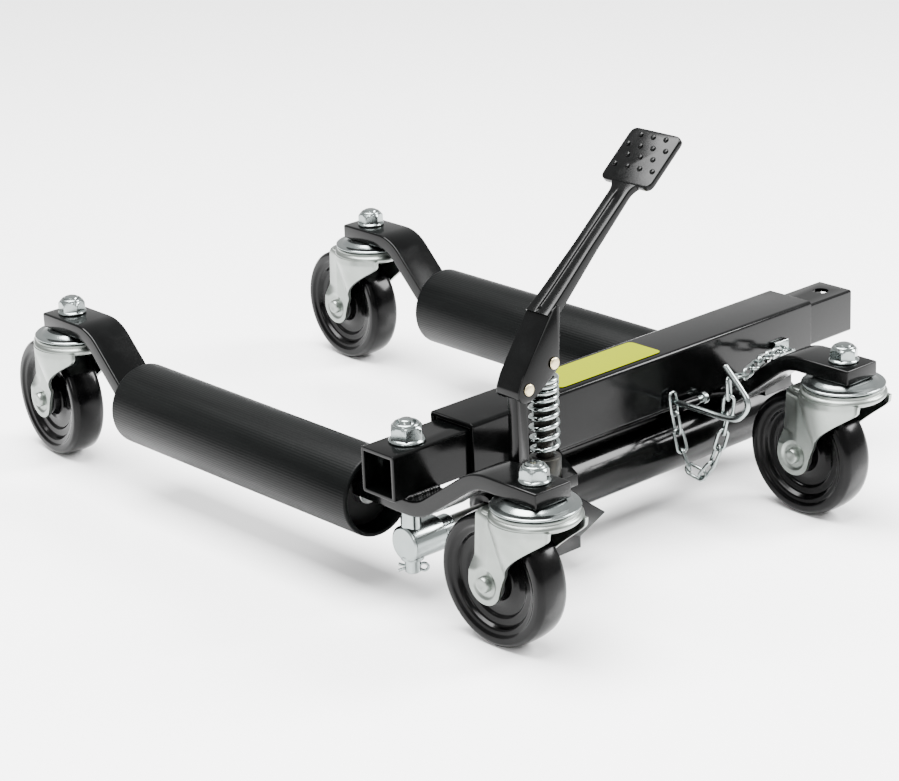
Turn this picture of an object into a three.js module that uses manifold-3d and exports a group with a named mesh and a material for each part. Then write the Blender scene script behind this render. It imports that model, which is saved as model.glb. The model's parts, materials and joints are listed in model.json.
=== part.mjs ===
// Wheel dolly: a telescoping frame on four swivel casters that squeezes a tyre between two
// rollers and lifts it.  A foot pump drives a ram under the frame.  Millimetres, +Z up.
// X runs along the telescoping tube, Y along the rollers.  Everything is drawn from the swivel
// axis of the near left caster on the floor, and the last lines move the origin to the middle
// of the footprint.
import * as THREE from 'three';
import { mergeVertices } from 'three/addons/utils/BufferGeometryUtils.js';
import Module from 'manifold-3d';

const wasm = await Module();
wasm.setup();

// Driving dimensions
const CLEARANCE = 0.3;          // gap left between pieces that touch
const SPAN_X = 323;             // swivel axis to swivel axis along the tube
const SPAN_Y = 545;             // swivel axis to swivel axis along the rollers

const WHEEL_RADIUS = 50;
const WHEEL_HALF = 14;          // half the tread's width
const TRAIL = 33;               // axle behind the swivel axis
const AXLE_RADIUS = 6;
const FORK_INSIDE = 17;         // half the gap between the fork legs
const FORK_PLATE = 3;
const FORK_TOP = 105.5;
const FOOT_RADIUS = 15.5;       // round lower end of a fork leg
const RACE_RADIUS = 33;
const STEM_RADIUS = 6;

const BAR_TOP = 130;            // top face of the arm bars over the casters
const BAR_THICK = 12;
const BAR_WIDTH = 34;
const BAR_END = 18;             // bar beyond the swivel axis

const ROLLER_RADIUS = 32.7;
const ROLLER_BORE = 28.5;
const ROLLER_NEAR = 167;
const ROLLER_FAR = 453;
const SHAFT_RADIUS = 10;
const SHAFT_HEIGHT = 74;
const SHAFT_NEAR = 176;
const SHAFT_FAR = 443;

const TUBE_SIZE = 35;
const TUBE_WALL = 3;
const TUBE_BASE = 89;           // underside of the inner tube
const TUBE_MID = TUBE_BASE + TUBE_SIZE / 2;
const BEAM_Y = 134;             // centre plane of tube, sleeve and ram
const TUBE_LEFT = -27;
const TUBE_RIGHT = 471;
const SLEEVE_SIZE = 46;
const SLEEVE_WALL = 3.5;
const SLEEVE_LEFT = 45;
const SLEEVE_RIGHT = 415;
const SLEEVE_NEAR = BEAM_Y - SLEEVE_SIZE / 2;
const SLEEVE_BASE = TUBE_MID - SLEEVE_SIZE / 2;

const RAM_Z = 45.5;
const RAM_RADIUS = 22.5;
const RAM_BORE = 18;
const RAM_LEFT = 88;
const RAM_RIGHT = 405;
const ROD_RADIUS = 8;
const ARM_PIN_X = 2;

const PUMP_X = 58;
const PUMP_Y = 50;
const SLAB_BASE = 94;           // pump slab passes just over the swinging caster wheel
const SLAB_TOP = 103;
const BARREL_TOP = 118.5;
const SPRING_TOP = 174;
const LINK_X = 33;
const LINK_FOOT = 113;
const PEDAL_PIN_Z = 177.5;      // pedal pivots on the link here
const PLUNGER_PIN_Z = 190.5;    // and pushes the plunger here
const PEDAL_HALF = 11.5;        // half the width of the pedal channel
const PEDAL_PLATE = 3;
const PIN_RADIUS = 3.1;

const PLUNGER_RADIUS = 7.4;

const LOCK_X = 250;
const LOCK_Z = 91;
const LOCK_WIRE = 2.4;

// Colours
const paint = { color: 0x0b0c0d, roughness: 0.25, metalness: 0.3 };
const satin = { color: 0x1b1d1d, roughness: 0.6, metalness: 0.2 };
const zinc = { color: 0xc9cfce, roughness: 0.35, metalness: 0.9 };
const yellowZinc = { color: 0xe2cf9a, roughness: 0.45, metalness: 0.7 };
const blackResin = { color: 0x08090a, roughness: 0.2, metalness: 0 };
const castSteel = { color: 0x5a5c59, roughness: 0.5, metalness: 0.6 };
const nylon = { color: 0x141414, roughness: 0.6, metalness: 0 };
const labelFilm = { color: 0xe2e834, roughness: 0.4, metalness: 0 };

// Geometry helpers
// Weld the shared vertices, drop collapsed faces and turn the faces outwards.
function weld(geometry) {
  const bare = geometry.clone();
  bare.deleteAttribute('normal');
  bare.deleteAttribute('uv');
  const merged = mergeVertices(bare, 1e-4);
  const position = merged.getAttribute('position');
  const index = merged.getIndex().array;
  const corner = [new THREE.Vector3(), new THREE.Vector3(), new THREE.Vector3()];
  const faces = [];
  let volume = 0;
  for (let i = 0; i < index.length; i += 3) {
    const face = [index[i], index[i + 1], index[i + 2]];
    if (new Set(face).size < 3) continue;
    face.forEach((vertex, k) => corner[k].fromBufferAttribute(position, vertex));
    volume += corner[0].dot(corner[1].clone().cross(corner[2]));
    faces.push(face);
  }
  const outward = volume < 0 ? faces.map(([a, b, c]) => [a, c, b]) : faces;
  merged.setIndex(outward.flat());
  return merged;
}

function toSolid(geometry) {
  const welded = weld(geometry);
  return new wasm.Manifold(new wasm.Mesh({
    numProp: 3,
    vertProperties: new Float32Array(welded.getAttribute('position').array),
    triVerts: new Uint32Array(welded.getIndex().array),
  }));
}

function fromSolid(solid) {
  const { vertProperties, triVerts } = solid.getMesh();
  const geometry = new THREE.BufferGeometry();
  geometry.setAttribute('position', new THREE.BufferAttribute(vertProperties, 3));
  geometry.setIndex(new THREE.BufferAttribute(triVerts, 1));
  return geometry;
}

function join(...geometries) {
  const solids = geometries.map(toSolid);
  return fromSolid(solids.reduce((whole, piece) => whole.add(piece)));
}

function cut(body, ...tools) {
  const solids = tools.map(toSolid);
  return fromSolid(solids.reduce((whole, tool) => whole.subtract(tool), toSolid(body)));
}

// A turned piece: profile points are [radius, height], the axis is Z.
function turned(profile, segments) {
  const points = profile.map(([radius, height]) => new THREE.Vector2(radius, height));
  return new THREE.LatheGeometry(points, segments).rotateX(Math.PI / 2);
}

// A ring or tube about Z between two heights.
function ring(inner, outer, low, high, segments) {
  return turned([[inner, low], [outer, low], [outer, high], [inner, high], [inner, low]], segments);
}

// Solid round bar along an axis, from one end to the other.
function bar(axis, radius, start, end, segments = 20) {
  const geometry = new THREE.CylinderGeometry(radius, radius, end - start, segments);
  const middle = (start + end) / 2;
  if (axis === 'x') return geometry.rotateZ(Math.PI / 2).translate(middle, 0, 0);
  if (axis === 'y') return geometry.translate(0, middle, 0);
  return geometry.rotateX(Math.PI / 2).translate(0, 0, middle);
}

function box(x0, x1, y0, y1, z0, z1) {
  const geometry = new THREE.BoxGeometry(x1 - x0, y1 - y0, z1 - z0);
  return geometry.translate((x0 + x1) / 2, (y0 + y1) / 2, (z0 + z1) / 2);
}

function outline(points) {
  return new THREE.Shape(points.map(([x, y]) => new THREE.Vector2(x, y)));
}

function roundedRect(width, height, radius) {
  const shape = new THREE.Shape();
  const x = width / 2 - radius;
  const y = height / 2 - radius;
  shape.absarc(x, y, radius, 0, Math.PI / 2);
  shape.absarc(-x, y, radius, Math.PI / 2, Math.PI);
  shape.absarc(-x, -y, radius, Math.PI, Math.PI * 1.5);
  shape.absarc(x, -y, radius, Math.PI * 1.5, Math.PI * 2);
  return shape;
}

// Extrude a shape drawn in (Y, Z) along X.
function alongX(shape, x0, x1, curveSegments = 3) {
  const options = { depth: x1 - x0, bevelEnabled: false, curveSegments };
  const turn = new THREE.Matrix4().makeBasis(
    new THREE.Vector3(0, 1, 0), new THREE.Vector3(0, 0, 1), new THREE.Vector3(1, 0, 0));
  return new THREE.ExtrudeGeometry(shape, options).applyMatrix4(turn).translate(x0, 0, 0);
}

// Extrude a shape drawn in (X, Z) along Y.
function alongY(shape, y0, y1, curveSegments = 6) {
  const options = { depth: y1 - y0, bevelEnabled: false, curveSegments };
  return new THREE.ExtrudeGeometry(shape, options).rotateX(Math.PI / 2).translate(0, y1, 0);
}

// Extrude a shape drawn in (X, Y) along Z.
function alongZ(shape, z0, z1, curveSegments = 4) {
  const options = { depth: z1 - z0, bevelEnabled: false, curveSegments };
  return new THREE.ExtrudeGeometry(shape, options).translate(0, 0, z0);
}

// Flat bar bent along a centre line, with mitred bends: the outline of its edge.
function bentBar(centreLine, thickness) {
  const points = centreLine.map(([x, y]) => new THREE.Vector2(x, y));
  const side = (sign) => points.map((point, i) => {
    const before = points[Math.max(i - 1, 0)];
    const after = points[Math.min(i + 1, points.length - 1)];
    const into = point.clone().sub(before).normalize();
    const out = after.clone().sub(point).normalize();
    if (i === 0) into.copy(out);
    if (i === points.length - 1) out.copy(into);
    const normal = new THREE.Vector2(-into.y - out.y, into.x + out.x).normalize();
    const reach = thickness / 2 / normal.dot(new THREE.Vector2(-into.y, into.x));
    return point.clone().addScaledVector(normal, sign * reach);
  });
  return new THREE.Shape([...side(1), ...side(-1).reverse()]);
}

// Round wire swept along a curve.
function wire(curve, radius, sides, steps) {
  const section = new THREE.Shape();
  for (let i = 0; i < sides; i += 1) {
    const angle = (i / sides) * Math.PI * 2;
    const place = [Math.cos(angle) * radius, Math.sin(angle) * radius];
    if (i === 0) section.moveTo(...place);
    else section.lineTo(...place);
  }
  return new THREE.ExtrudeGeometry(section, { steps, extrudePath: curve, bevelEnabled: false });
}

const dolly = new THREE.Group();

function add(parent, name, geometry, look) {
  const mesh = new THREE.Mesh(weld(geometry), new THREE.MeshStandardMaterial(look));
  mesh.name = name;
  parent.add(mesh);
  return mesh;
}

// Casters: a stem and upper race fixed to the arm, then a fork, axle and wheel that swivel.
function stemGeometry() {
  return turned([
    [0, 100.2], [11, 100.2], [11, 102.2], [8, 102.2], [8, 112], [31.5, 112], [32, 114],
    [20, BAR_TOP - BAR_THICK - CLEARANCE], [STEM_RADIUS, BAR_TOP - BAR_THICK - CLEARANCE],
    [STEM_RADIUS, 143], [5, 144], [0, 144],
  ], 16);
}

function nutGeometry(base, boreRadius, size) {
  const hex = new THREE.CylinderGeometry(10.9 * size, 10.9 * size, 10 * size, 6).rotateX(Math.PI / 2);
  hex.translate(0, 0, base + 7 * size);
  const collar = 11.5 * size;
  const flange = turned([
    [0, base], [collar, base], [collar, base + 1.5 * size], [10 * size, base + 3 * size],
    [0, base + 3 * size],
  ], 18);
  return cut(join(hex, flange), bar('z', boreRadius, base - 5, base + 20, 12));
}

function forkGeometry() {
  const race = ring(8.4, RACE_RADIUS, FORK_TOP - 1, 109.5, 24);
  const lip = ring(8.4, RACE_RADIUS - 2, 109, 111.7, 24);
  const crown = alongZ(outline([
    [-24, -FORK_INSIDE - FORK_PLATE], [39, -FORK_INSIDE - FORK_PLATE], [43, -FORK_INSIDE + 1],
    [43, FORK_INSIDE - 1], [39, FORK_INSIDE + FORK_PLATE], [-24, FORK_INSIDE + FORK_PLATE],
    [-31, 8], [-31, -8],
  ]), FORK_TOP - FORK_PLATE, FORK_TOP);
  const leg = new THREE.Shape();
  leg.moveTo(42.5, FORK_TOP - 0.5);
  leg.lineTo(TRAIL + FOOT_RADIUS, WHEEL_RADIUS);
  leg.absarc(TRAIL, WHEEL_RADIUS, FOOT_RADIUS, 0, -Math.PI * 0.85, true);
  leg.quadraticCurveTo(14, 58, 5, 73);
  leg.quadraticCurveTo(-4, 86, -15, 94);
  leg.lineTo(-25, FORK_TOP - 0.5);
  const legs = [-1, 1].map((side) => {
    const inner = side * FORK_INSIDE;
    const outer = side * (FORK_INSIDE + FORK_PLATE);
    return alongY(leg, Math.min(inner, outer), Math.max(inner, outer), 3);
  });
  const axleHole = bar('y', AXLE_RADIUS + CLEARANCE, -30, 30, 12).translate(TRAIL, 0, WHEEL_RADIUS);
  const stemHole = bar('z', 8.4, 90, 120, 24);
  return cut(join(race, lip, crown, ...legs), axleHole, stemHole);
}

function axleGeometry() {
  const face = FORK_INSIDE + FORK_PLATE + CLEARANCE;
  return turned([
    [0, -face - 4], [7, -face - 4], [9, -face - 2], [9, -face], [AXLE_RADIUS, -face],
    [AXLE_RADIUS, face], [9, face], [9, face + 2], [7, face + 4], [0, face + 4],
  ], 12).rotateX(Math.PI / 2);
}

function wheelGeometry() {
  const half = [
    [6.4, WHEEL_HALF + 1.6], [14, WHEEL_HALF + 1.6], [16, 6.5], [35, 6.5], [39.5, WHEEL_HALF - 0.4],
    [46.8, WHEEL_HALF], [49.4, WHEEL_HALF - 2.4],
  ];
  const profile = [
    ...half.map(([radius, width]) => [radius, -width]),
    [WHEEL_RADIUS, 0],
    ...half.map(([radius, width]) => [radius, width]).reverse(),
    [half[0][0], -half[0][1]],
  ];
  return turned(profile, 28).rotateX(Math.PI / 2);
}

function caster(name, x, y, heading) {
  const station = new THREE.Group();
  station.position.set(x, y, 0);
  add(station, `${name}_stem`, stemGeometry(), zinc);
  add(station, `${name}_stem_nut`, nutGeometry(BAR_TOP + CLEARANCE, STEM_RADIUS + CLEARANCE, 1), zinc);
  const swivel = new THREE.Group();
  swivel.rotation.z = THREE.MathUtils.degToRad(heading);
  add(swivel, `${name}_fork`, forkGeometry(), zinc);
  const hub = new THREE.Group();
  hub.position.set(TRAIL, 0, WHEEL_RADIUS);
  add(hub, `${name}_axle`, axleGeometry(), zinc);
  add(hub, `${name}_wheel`, wheelGeometry(), blackResin);
  swivel.add(hub);
  station.add(swivel);
  dolly.add(station);
}

caster('near_left', 0, 0, 92);
caster('near_right', SPAN_X, 0, 90);
caster('far_left', 0, SPAN_Y, 84);
caster('far_right', SPAN_X, SPAN_Y, 87);

// Arms: flat bars that run level over the caster, slope down and enter the roller end.
const MID = BAR_TOP - BAR_THICK / 2;
const stemHoleAt = (y) => bar('z', STEM_RADIUS + 0.4, 100, 150, 16).translate(0, y, 0);

function nearArm(lowTop) {
  const low = lowTop - BAR_THICK / 2;
  const profile = bentBar([[-BAR_END, MID], [44, MID], [104, low], [SHAFT_NEAR, low]], BAR_THICK);
  return cut(alongX(profile, -BAR_WIDTH / 2, BAR_WIDTH / 2), stemHoleAt(0));
}

function farArm() {
  const low = SHAFT_HEIGHT + 3;
  const profile = bentBar(
    [[SPAN_Y + BAR_END, MID], [504, MID], [504 - (MID - low), low], [SHAFT_FAR, low]], BAR_THICK);
  return cut(alongX(profile, -BAR_WIDTH / 2, BAR_WIDTH / 2), stemHoleAt(SPAN_Y));
}

const armPinHole = bar('z', 6.4, 60, 140, 16).translate(ARM_PIN_X, BEAM_Y, 0);
const leftArm = cut(nearArm(TUBE_BASE - CLEARANCE), armPinHole);
const rightArm = nearArm(SLEEVE_BASE - CLEARANCE);

for (const [side, x, near] of [['left', 0, leftArm], ['right', SPAN_X, rightArm]]) {
  const frame = new THREE.Group();
  frame.position.x = x;
  add(frame, `near_arm_${side}`, near, paint);
  add(frame, `far_arm_${side}`, farArm(), paint);
  const axis = new THREE.Group();
  axis.position.z = SHAFT_HEIGHT;
  add(axis, `roller_shaft_${side}`,
    bar('y', SHAFT_RADIUS, SHAFT_NEAR + CLEARANCE, SHAFT_FAR - CLEARANCE, 24), castSteel);
  const tube = ring(ROLLER_BORE, ROLLER_RADIUS, -ROLLER_FAR, -ROLLER_NEAR, 40);
  add(axis, `roller_${side}`, tube.rotateX(Math.PI / 2), satin);
  const bush = () => ring(SHAFT_RADIUS + CLEARANCE, ROLLER_BORE - CLEARANCE, -7, 7, 24);
  add(axis, `roller_bush_near_${side}`, bush().rotateX(Math.PI / 2), nylon).position.y = 190;
  add(axis, `roller_bush_far_${side}`, bush().rotateX(Math.PI / 2), nylon).position.y = 430;
  frame.add(axis);
  dolly.add(frame);
}

// Telescoping beam: inner tube, outer sleeve and the two liners between them.
function squareTube(size, wall, cornerRadius, x0, x1) {
  const shape = roundedRect(size, size, cornerRadius);
  shape.holes.push(roundedRect(size - 2 * wall, size - 2 * wall, Math.max(cornerRadius - wall, 0.8)));
  return alongX(shape, x0, x1).translate(0, BEAM_Y, TUBE_MID);
}

const tubeHoles = [ARM_PIN_X, 453].map((x) => bar('z', 6.4, 60, 160, 20).translate(x, BEAM_Y, 0));
const tubeBlank = squareTube(TUBE_SIZE, TUBE_WALL, 2, TUBE_LEFT, TUBE_RIGHT);
add(dolly, 'inner_tube', cut(tubeBlank, ...tubeHoles), paint);
const lockHole = bar('y', LOCK_WIRE + 0.4, 100, 118, 14).translate(LOCK_X, 0, LOCK_Z);
add(dolly, 'outer_sleeve',
  cut(squareTube(SLEEVE_SIZE, SLEEVE_WALL, 3.5, SLEEVE_LEFT, SLEEVE_RIGHT), lockHole), paint);
const linerSize = SLEEVE_SIZE - 2 * SLEEVE_WALL - 2 * CLEARANCE;
const linerWall = (linerSize - TUBE_SIZE) / 2 - CLEARANCE;
for (const [end, x] of [['left', SLEEVE_LEFT + 2], ['right', SLEEVE_RIGHT - 24]]) {
  add(dolly, `slide_liner_${end}`, squareTube(linerSize, linerWall, 0.9, x, x + 22), nylon);
}
const labelShape = roundedRect(108, 34, 4);
add(dolly, 'label_plate', alongZ(labelShape, 0, 0.6), labelFilm)
  .position.set(194, BEAM_Y, SLEEVE_BASE + SLEEVE_SIZE + CLEARANCE);

// Long pin through tube, left arm and rod end, with a nut on top and a cotter below.
const COTTER_TURN = Math.PI / 4;
const ARM_PIN_LOW = RAM_Z - 24;
const ARM_PIN_TOP = TUBE_BASE + TUBE_SIZE + 17;
const cotterHole = bar('y', 1.6, -9, 9, 10).rotateZ(COTTER_TURN).translate(0, 0, ARM_PIN_LOW + 4);
const pinRod = turned([[0, ARM_PIN_LOW], [6, ARM_PIN_LOW], [6, ARM_PIN_TOP - 1], [5, ARM_PIN_TOP],
  [0, ARM_PIN_TOP]], 20);
add(dolly, 'arm_pin', cut(pinRod, cotterHole), zinc).position.set(ARM_PIN_X, BEAM_Y, 0);
add(dolly, 'arm_pin_nut', nutGeometry(TUBE_BASE + TUBE_SIZE + CLEARANCE, 6.3, 1.18), zinc)
  .position.set(ARM_PIN_X, BEAM_Y, 0);
const cotterPath = new THREE.LineCurve3(new THREE.Vector3(0, -11, 0), new THREE.Vector3(0, 11, 0));
add(dolly, 'cotter_pin', wire(cotterPath, 1.2, 8, 1).rotateZ(COTTER_TURN), zinc)
  .position.set(ARM_PIN_X, BEAM_Y, ARM_PIN_LOW + 4);

// Ram: cylinder under the sleeve, gland, rod with its piston, and the rod end on the pin.
const RAM_END_WALL = 8;
const ramTube = turned([
  [RAM_BORE, RAM_LEFT], [RAM_RADIUS, RAM_LEFT], [RAM_RADIUS, RAM_RIGHT - 2],
  [RAM_RADIUS - 2, RAM_RIGHT], [0, RAM_RIGHT], [0, RAM_RIGHT - RAM_END_WALL],
  [RAM_BORE, RAM_RIGHT - RAM_END_WALL], [RAM_BORE, RAM_LEFT],
], 32);
const layAlongX = (geometry) => geometry.rotateY(Math.PI / 2);
add(dolly, 'ram_cylinder', layAlongX(ramTube), paint).position.set(0, BEAM_Y, RAM_Z);
const GLAND_LEFT = RAM_LEFT - 14;
const glandRing = turned([
  [ROD_RADIUS + CLEARANCE, GLAND_LEFT], [14, GLAND_LEFT], [14, GLAND_LEFT + 5], [RAM_RADIUS, GLAND_LEFT + 5],
  [RAM_RADIUS, RAM_LEFT - CLEARANCE], [RAM_BORE - CLEARANCE, RAM_LEFT - CLEARANCE],
  [RAM_BORE - CLEARANCE, RAM_LEFT + 16], [ROD_RADIUS + CLEARANCE, RAM_LEFT + 16],
  [ROD_RADIUS + CLEARANCE, GLAND_LEFT],
], 24);
add(dolly, 'ram_gland', layAlongX(glandRing), castSteel).position.set(0, BEAM_Y, RAM_Z);
const PISTON_RIGHT = RAM_RIGHT - RAM_END_WALL - 4;
const ROD_END_RIGHT = 38;
const rodTurned = turned([
  [0, ROD_END_RIGHT + CLEARANCE], [ROD_RADIUS, ROD_END_RIGHT + CLEARANCE], [ROD_RADIUS, PISTON_RIGHT - 16],
  [RAM_BORE - CLEARANCE, PISTON_RIGHT - 16], [RAM_BORE - CLEARANCE, PISTON_RIGHT], [0, PISTON_RIGHT],
], 20);
add(dolly, 'ram_rod', layAlongX(rodTurned), castSteel).position.set(0, BEAM_Y, RAM_Z);
const endTurned = turned([
  [0, -6.5], [13.2, -6.5], [14, -5.5], [14, 25], [12.5, 26], [11, 26],
  [11, ROD_END_RIGHT], [0, ROD_END_RIGHT],
], 20);
const BOSS_TOP = TUBE_BASE - BAR_THICK - 2 * CLEARANCE - RAM_Z;
const endBoss = bar('z', 7.5, 0, BOSS_TOP, 20).translate(ARM_PIN_X, 0, 0);
const endHole = bar('z', 6 + CLEARANCE, -40, 60, 20).translate(ARM_PIN_X, 0, 0);
add(dolly, 'rod_end', cut(join(layAlongX(endTurned), endBoss), endHole), zinc)
  .position.set(0, BEAM_Y, RAM_Z);
const saddleBore = bar('x', RAM_RADIUS + CLEARANCE, 370, 420, 32).translate(0, BEAM_Y, RAM_Z);
const saddleBlock = box(366, 398, BEAM_Y - 17, BEAM_Y + 17, RAM_Z + 12, SLEEVE_BASE - CLEARANCE);
add(dolly, 'ram_saddle', cut(saddleBlock, saddleBore.translate(-20, 0, 0)), paint);
const STRIP_RIGHT = SPAN_X - BAR_WIDTH / 2 - 1;
const strip = box(138, STRIP_RIGHT, BEAM_Y - 16, BEAM_Y + 16, SLEEVE_BASE - 4.5, SLEEVE_BASE - CLEARANCE);
add(dolly, 'sleeve_strip', strip, paint);

// Foot pump: block with its slab and clamp ring, barrel, plunger, return spring.
const slabShape = outline([
  [47, 44], [54, 36], [76, 36], [82, 48], [106, 90], [106, 107], [84, 107], [60, 66], [47, 60],
]);
const cheekShape = outline([[26, 107.5], [26, 119], [44, 119], [50, 107], [50, 100.8], [44, 100.8]]);
const cheeks = [[40.4, 44.6], [55.4, 59.6]].map(([y0, y1]) => alongY(cheekShape, y0, y1));
const pumpBody = join(
  alongZ(slabShape, SLAB_BASE, SLAB_TOP),
  box(44, 50, 40.4, 59.6, 100.8, SLAB_TOP + 4),
  box(86, 106, 90, 107, 48, SLAB_TOP),
  box(90, 128, 88, 107, 14, 54),
  box(114, 134, 100, 113, 26, 54),
  alongX(roundedRect(49, 49, 6), 114, 134).translate(0, BEAM_Y, RAM_Z),
  ...cheeks,
);
const ramHole = bar('x', RAM_RADIUS + CLEARANCE, 90, 160, 32).translate(0, BEAM_Y, RAM_Z);
const barrelHole = bar('z', 11.8, 80, 140, 24).translate(PUMP_X, PUMP_Y, 0);
const linkFootHole = bar('y', PIN_RADIUS + CLEARANCE, 30, 70, 12).translate(LINK_X, 0, LINK_FOOT);
const valveHole = bar('y', 4.3, 80, 100, 12).translate(120, 0, 40);
add(dolly, 'pump_block', cut(pumpBody, ramHole, barrelHole, linkFootHole, valveHole), paint);
const barrel = turned([
  [0, SLAB_BASE + CLEARANCE], [11.5, SLAB_BASE + CLEARANCE], [11.5, BARREL_TOP], [6.3, BARREL_TOP],
  [6.3, SLAB_BASE + 1.3], [0, SLAB_BASE + 1.3],
], 24);
add(dolly, 'pump_barrel', barrel, castSteel).position.set(PUMP_X, PUMP_Y, 0);
const plungerRod = turned([
  [0, 112], [6, 112], [6, BARREL_TOP + 18], [PLUNGER_RADIUS, BARREL_TOP + 18.5],
  [PLUNGER_RADIUS, SPRING_TOP + CLEARANCE], [11, SPRING_TOP + CLEARANCE],
  [11, SPRING_TOP + 2.3], [6, SPRING_TOP + 2.3], [6, PLUNGER_PIN_Z - 4], [0, PLUNGER_PIN_Z - 4],
], 20);
const plungerEye = bar('y', 7.5, -6, 6, 20).translate(0, 0, PLUNGER_PIN_Z);
const plungerHole = bar('y', PIN_RADIUS + 1.7, -10, 10, 16).translate(0, 0, PLUNGER_PIN_Z);
add(dolly, 'pump_plunger', cut(join(plungerRod, plungerEye), plungerHole), zinc)
  .position.set(PUMP_X, PUMP_Y, 0);

// Compression spring whose coils close up towards the top.
class SpringCurve extends THREE.Curve {
  getPoint(t, target = new THREE.Vector3()) {
    const turns = 8.5;
    const angle = t * turns * Math.PI * 2;
    const rise = 0.42 * t + 0.58 * Math.sin(t * Math.PI / 2);
    const low = BARREL_TOP + CLEARANCE + 1.6;
    const high = SPRING_TOP - 1.6;
    return target.set(9.6 * Math.cos(angle), 9.6 * Math.sin(angle), low + (high - low) * rise);
  }
}
add(dolly, 'return_spring', wire(new SpringCurve(), 1.4, 4, 68), zinc).position.set(PUMP_X, PUMP_Y, 0);

// Pedal: a link from the pump block, and a pressed lever with a studded pad.
const linkShape = new THREE.Shape();
linkShape.absarc(LINK_X, PEDAL_PIN_Z, 5, 0, Math.PI);
linkShape.absarc(LINK_X, LINK_FOOT, 5, Math.PI, Math.PI * 2);
const linkHoles = [LINK_FOOT, PEDAL_PIN_Z].map(
  (z) => bar('y', PIN_RADIUS + CLEARANCE, 30, 70, 12).translate(LINK_X, 0, z));
add(dolly, 'pedal_link', cut(alongY(linkShape, 45, 55), ...linkHoles), paint);

// Headed pin along Y, centred on the pump plane.
function headedPin(half) {
  return turned([
    [0, -half - 2], [3, -half - 2], [4.3, -half - 1], [4.3, -half], [PIN_RADIUS, -half],
    [PIN_RADIUS, half], [4.3, half], [4.3, half + 1], [3, half + 2], [0, half + 2],
  ], 10).rotateX(Math.PI / 2);
}
add(dolly, 'link_foot_pin', headedPin(9.9), yellowZinc).position.set(LINK_X, PUMP_Y, LINK_FOOT);
add(dolly, 'pedal_pivot_pin', headedPin(PEDAL_HALF + CLEARANCE), yellowZinc)
  .position.set(LINK_X, PUMP_Y, PEDAL_PIN_Z);
add(dolly, 'plunger_pin', headedPin(PEDAL_HALF + CLEARANCE), yellowZinc)
  .position.set(PUMP_X, PUMP_Y, PLUNGER_PIN_Z);

const ELBOW = new THREE.Vector2(58, 229);
const PAD_FOOT = new THREE.Vector2(141.5, 299.5);
const PAD_TIP = new THREE.Vector2(177, 329.5);
const PAD_LIFT = 0.5;
const cheekOutline = outline([
  [20, 176], [26, 184], [ELBOW.x, ELBOW.y], [66, 235], [63.5, 186], [58, 181.5], [42, 171.5],
  [36, 169], [28, 168], [22, 170.5],
]);
const webOutline = outline([
  [20, 176], [26, 184], [ELBOW.x, ELBOW.y], [ELBOW.x + 3, ELBOW.y - 1], [29, 182], [23.5, 175], [23, 171],
]);
const leverOutline = outline([
  [ELBOW.x - 1, ELBOW.y - 2], [ELBOW.x, ELBOW.y + 0.5], [PAD_FOOT.x, PAD_FOOT.y],
  [PAD_FOOT.x + 10, PAD_FOOT.y + 6.4], [PAD_FOOT.x + 12, PAD_FOOT.y + 3.4],
  [PAD_FOOT.x + 3, PAD_FOOT.y - 5.6], [ELBOW.x + 8, ELBOW.y - 2],
]);
const padAngle = Math.atan2(PAD_TIP.y - PAD_FOOT.y, PAD_TIP.x - PAD_FOOT.x);
const padLength = PAD_TIP.distanceTo(PAD_FOOT);
const pad = alongZ(roundedRect(padLength, 48, 5), -5, 0)
  .rotateY(-padAngle)
  .translate((PAD_FOOT.x + PAD_TIP.x) / 2, PUMP_Y, (PAD_FOOT.y + PAD_TIP.y) / 2 + PAD_LIFT);
const yLow = PUMP_Y - PEDAL_HALF;
const yHigh = PUMP_Y + PEDAL_HALF;
const pedalSolid = join(
  alongY(cheekOutline, yLow, yLow + PEDAL_PLATE),
  alongY(cheekOutline, yHigh - PEDAL_PLATE, yHigh),
  alongY(webOutline, yLow, yHigh),
  alongY(leverOutline, PUMP_Y - 9.5, PUMP_Y + 9.5),
  pad,
);
const pedalHoles = [[LINK_X, PEDAL_PIN_Z], [PUMP_X, PLUNGER_PIN_Z]].map(
  ([x, z]) => bar('y', PIN_RADIUS + CLEARANCE, 30, 70, 12).translate(x, 0, z));
add(dolly, 'foot_pedal', cut(pedalSolid, ...pedalHoles), paint);

// Release valve: a spindle in the pump block with a short pointed foot lever.
const valveLever = outline([[109, 58], [114.5, 63], [145, 40], [118.5, 28.5], [109, 33]]);
const valveBody = join(bar('y', 4, 80, 97, 12).translate(120, 0, 40), alongY(valveLever, 78, 84));
add(dolly, 'release_lever', valveBody, paint);

// Lock pin: bent wire with a straight leg that enters the sleeve wall.
class PinCurve extends THREE.CurvePath {
  constructor() {
    super();
    const at = (y, z) => new THREE.Vector3(LOCK_X, y, z);
    this.add(new THREE.LineCurve3(at(115.6, LOCK_Z), at(56, LOCK_Z)));
    this.add(new THREE.CubicBezierCurve3(at(56, LOCK_Z), at(28, LOCK_Z), at(22, 106), at(37, 117)));
    this.add(new THREE.LineCurve3(at(37, 117), at(54, 133)));
  }
}
add(dolly, 'lock_pin', wire(new PinCurve(), LOCK_WIRE, 8, 24), zinc);

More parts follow.
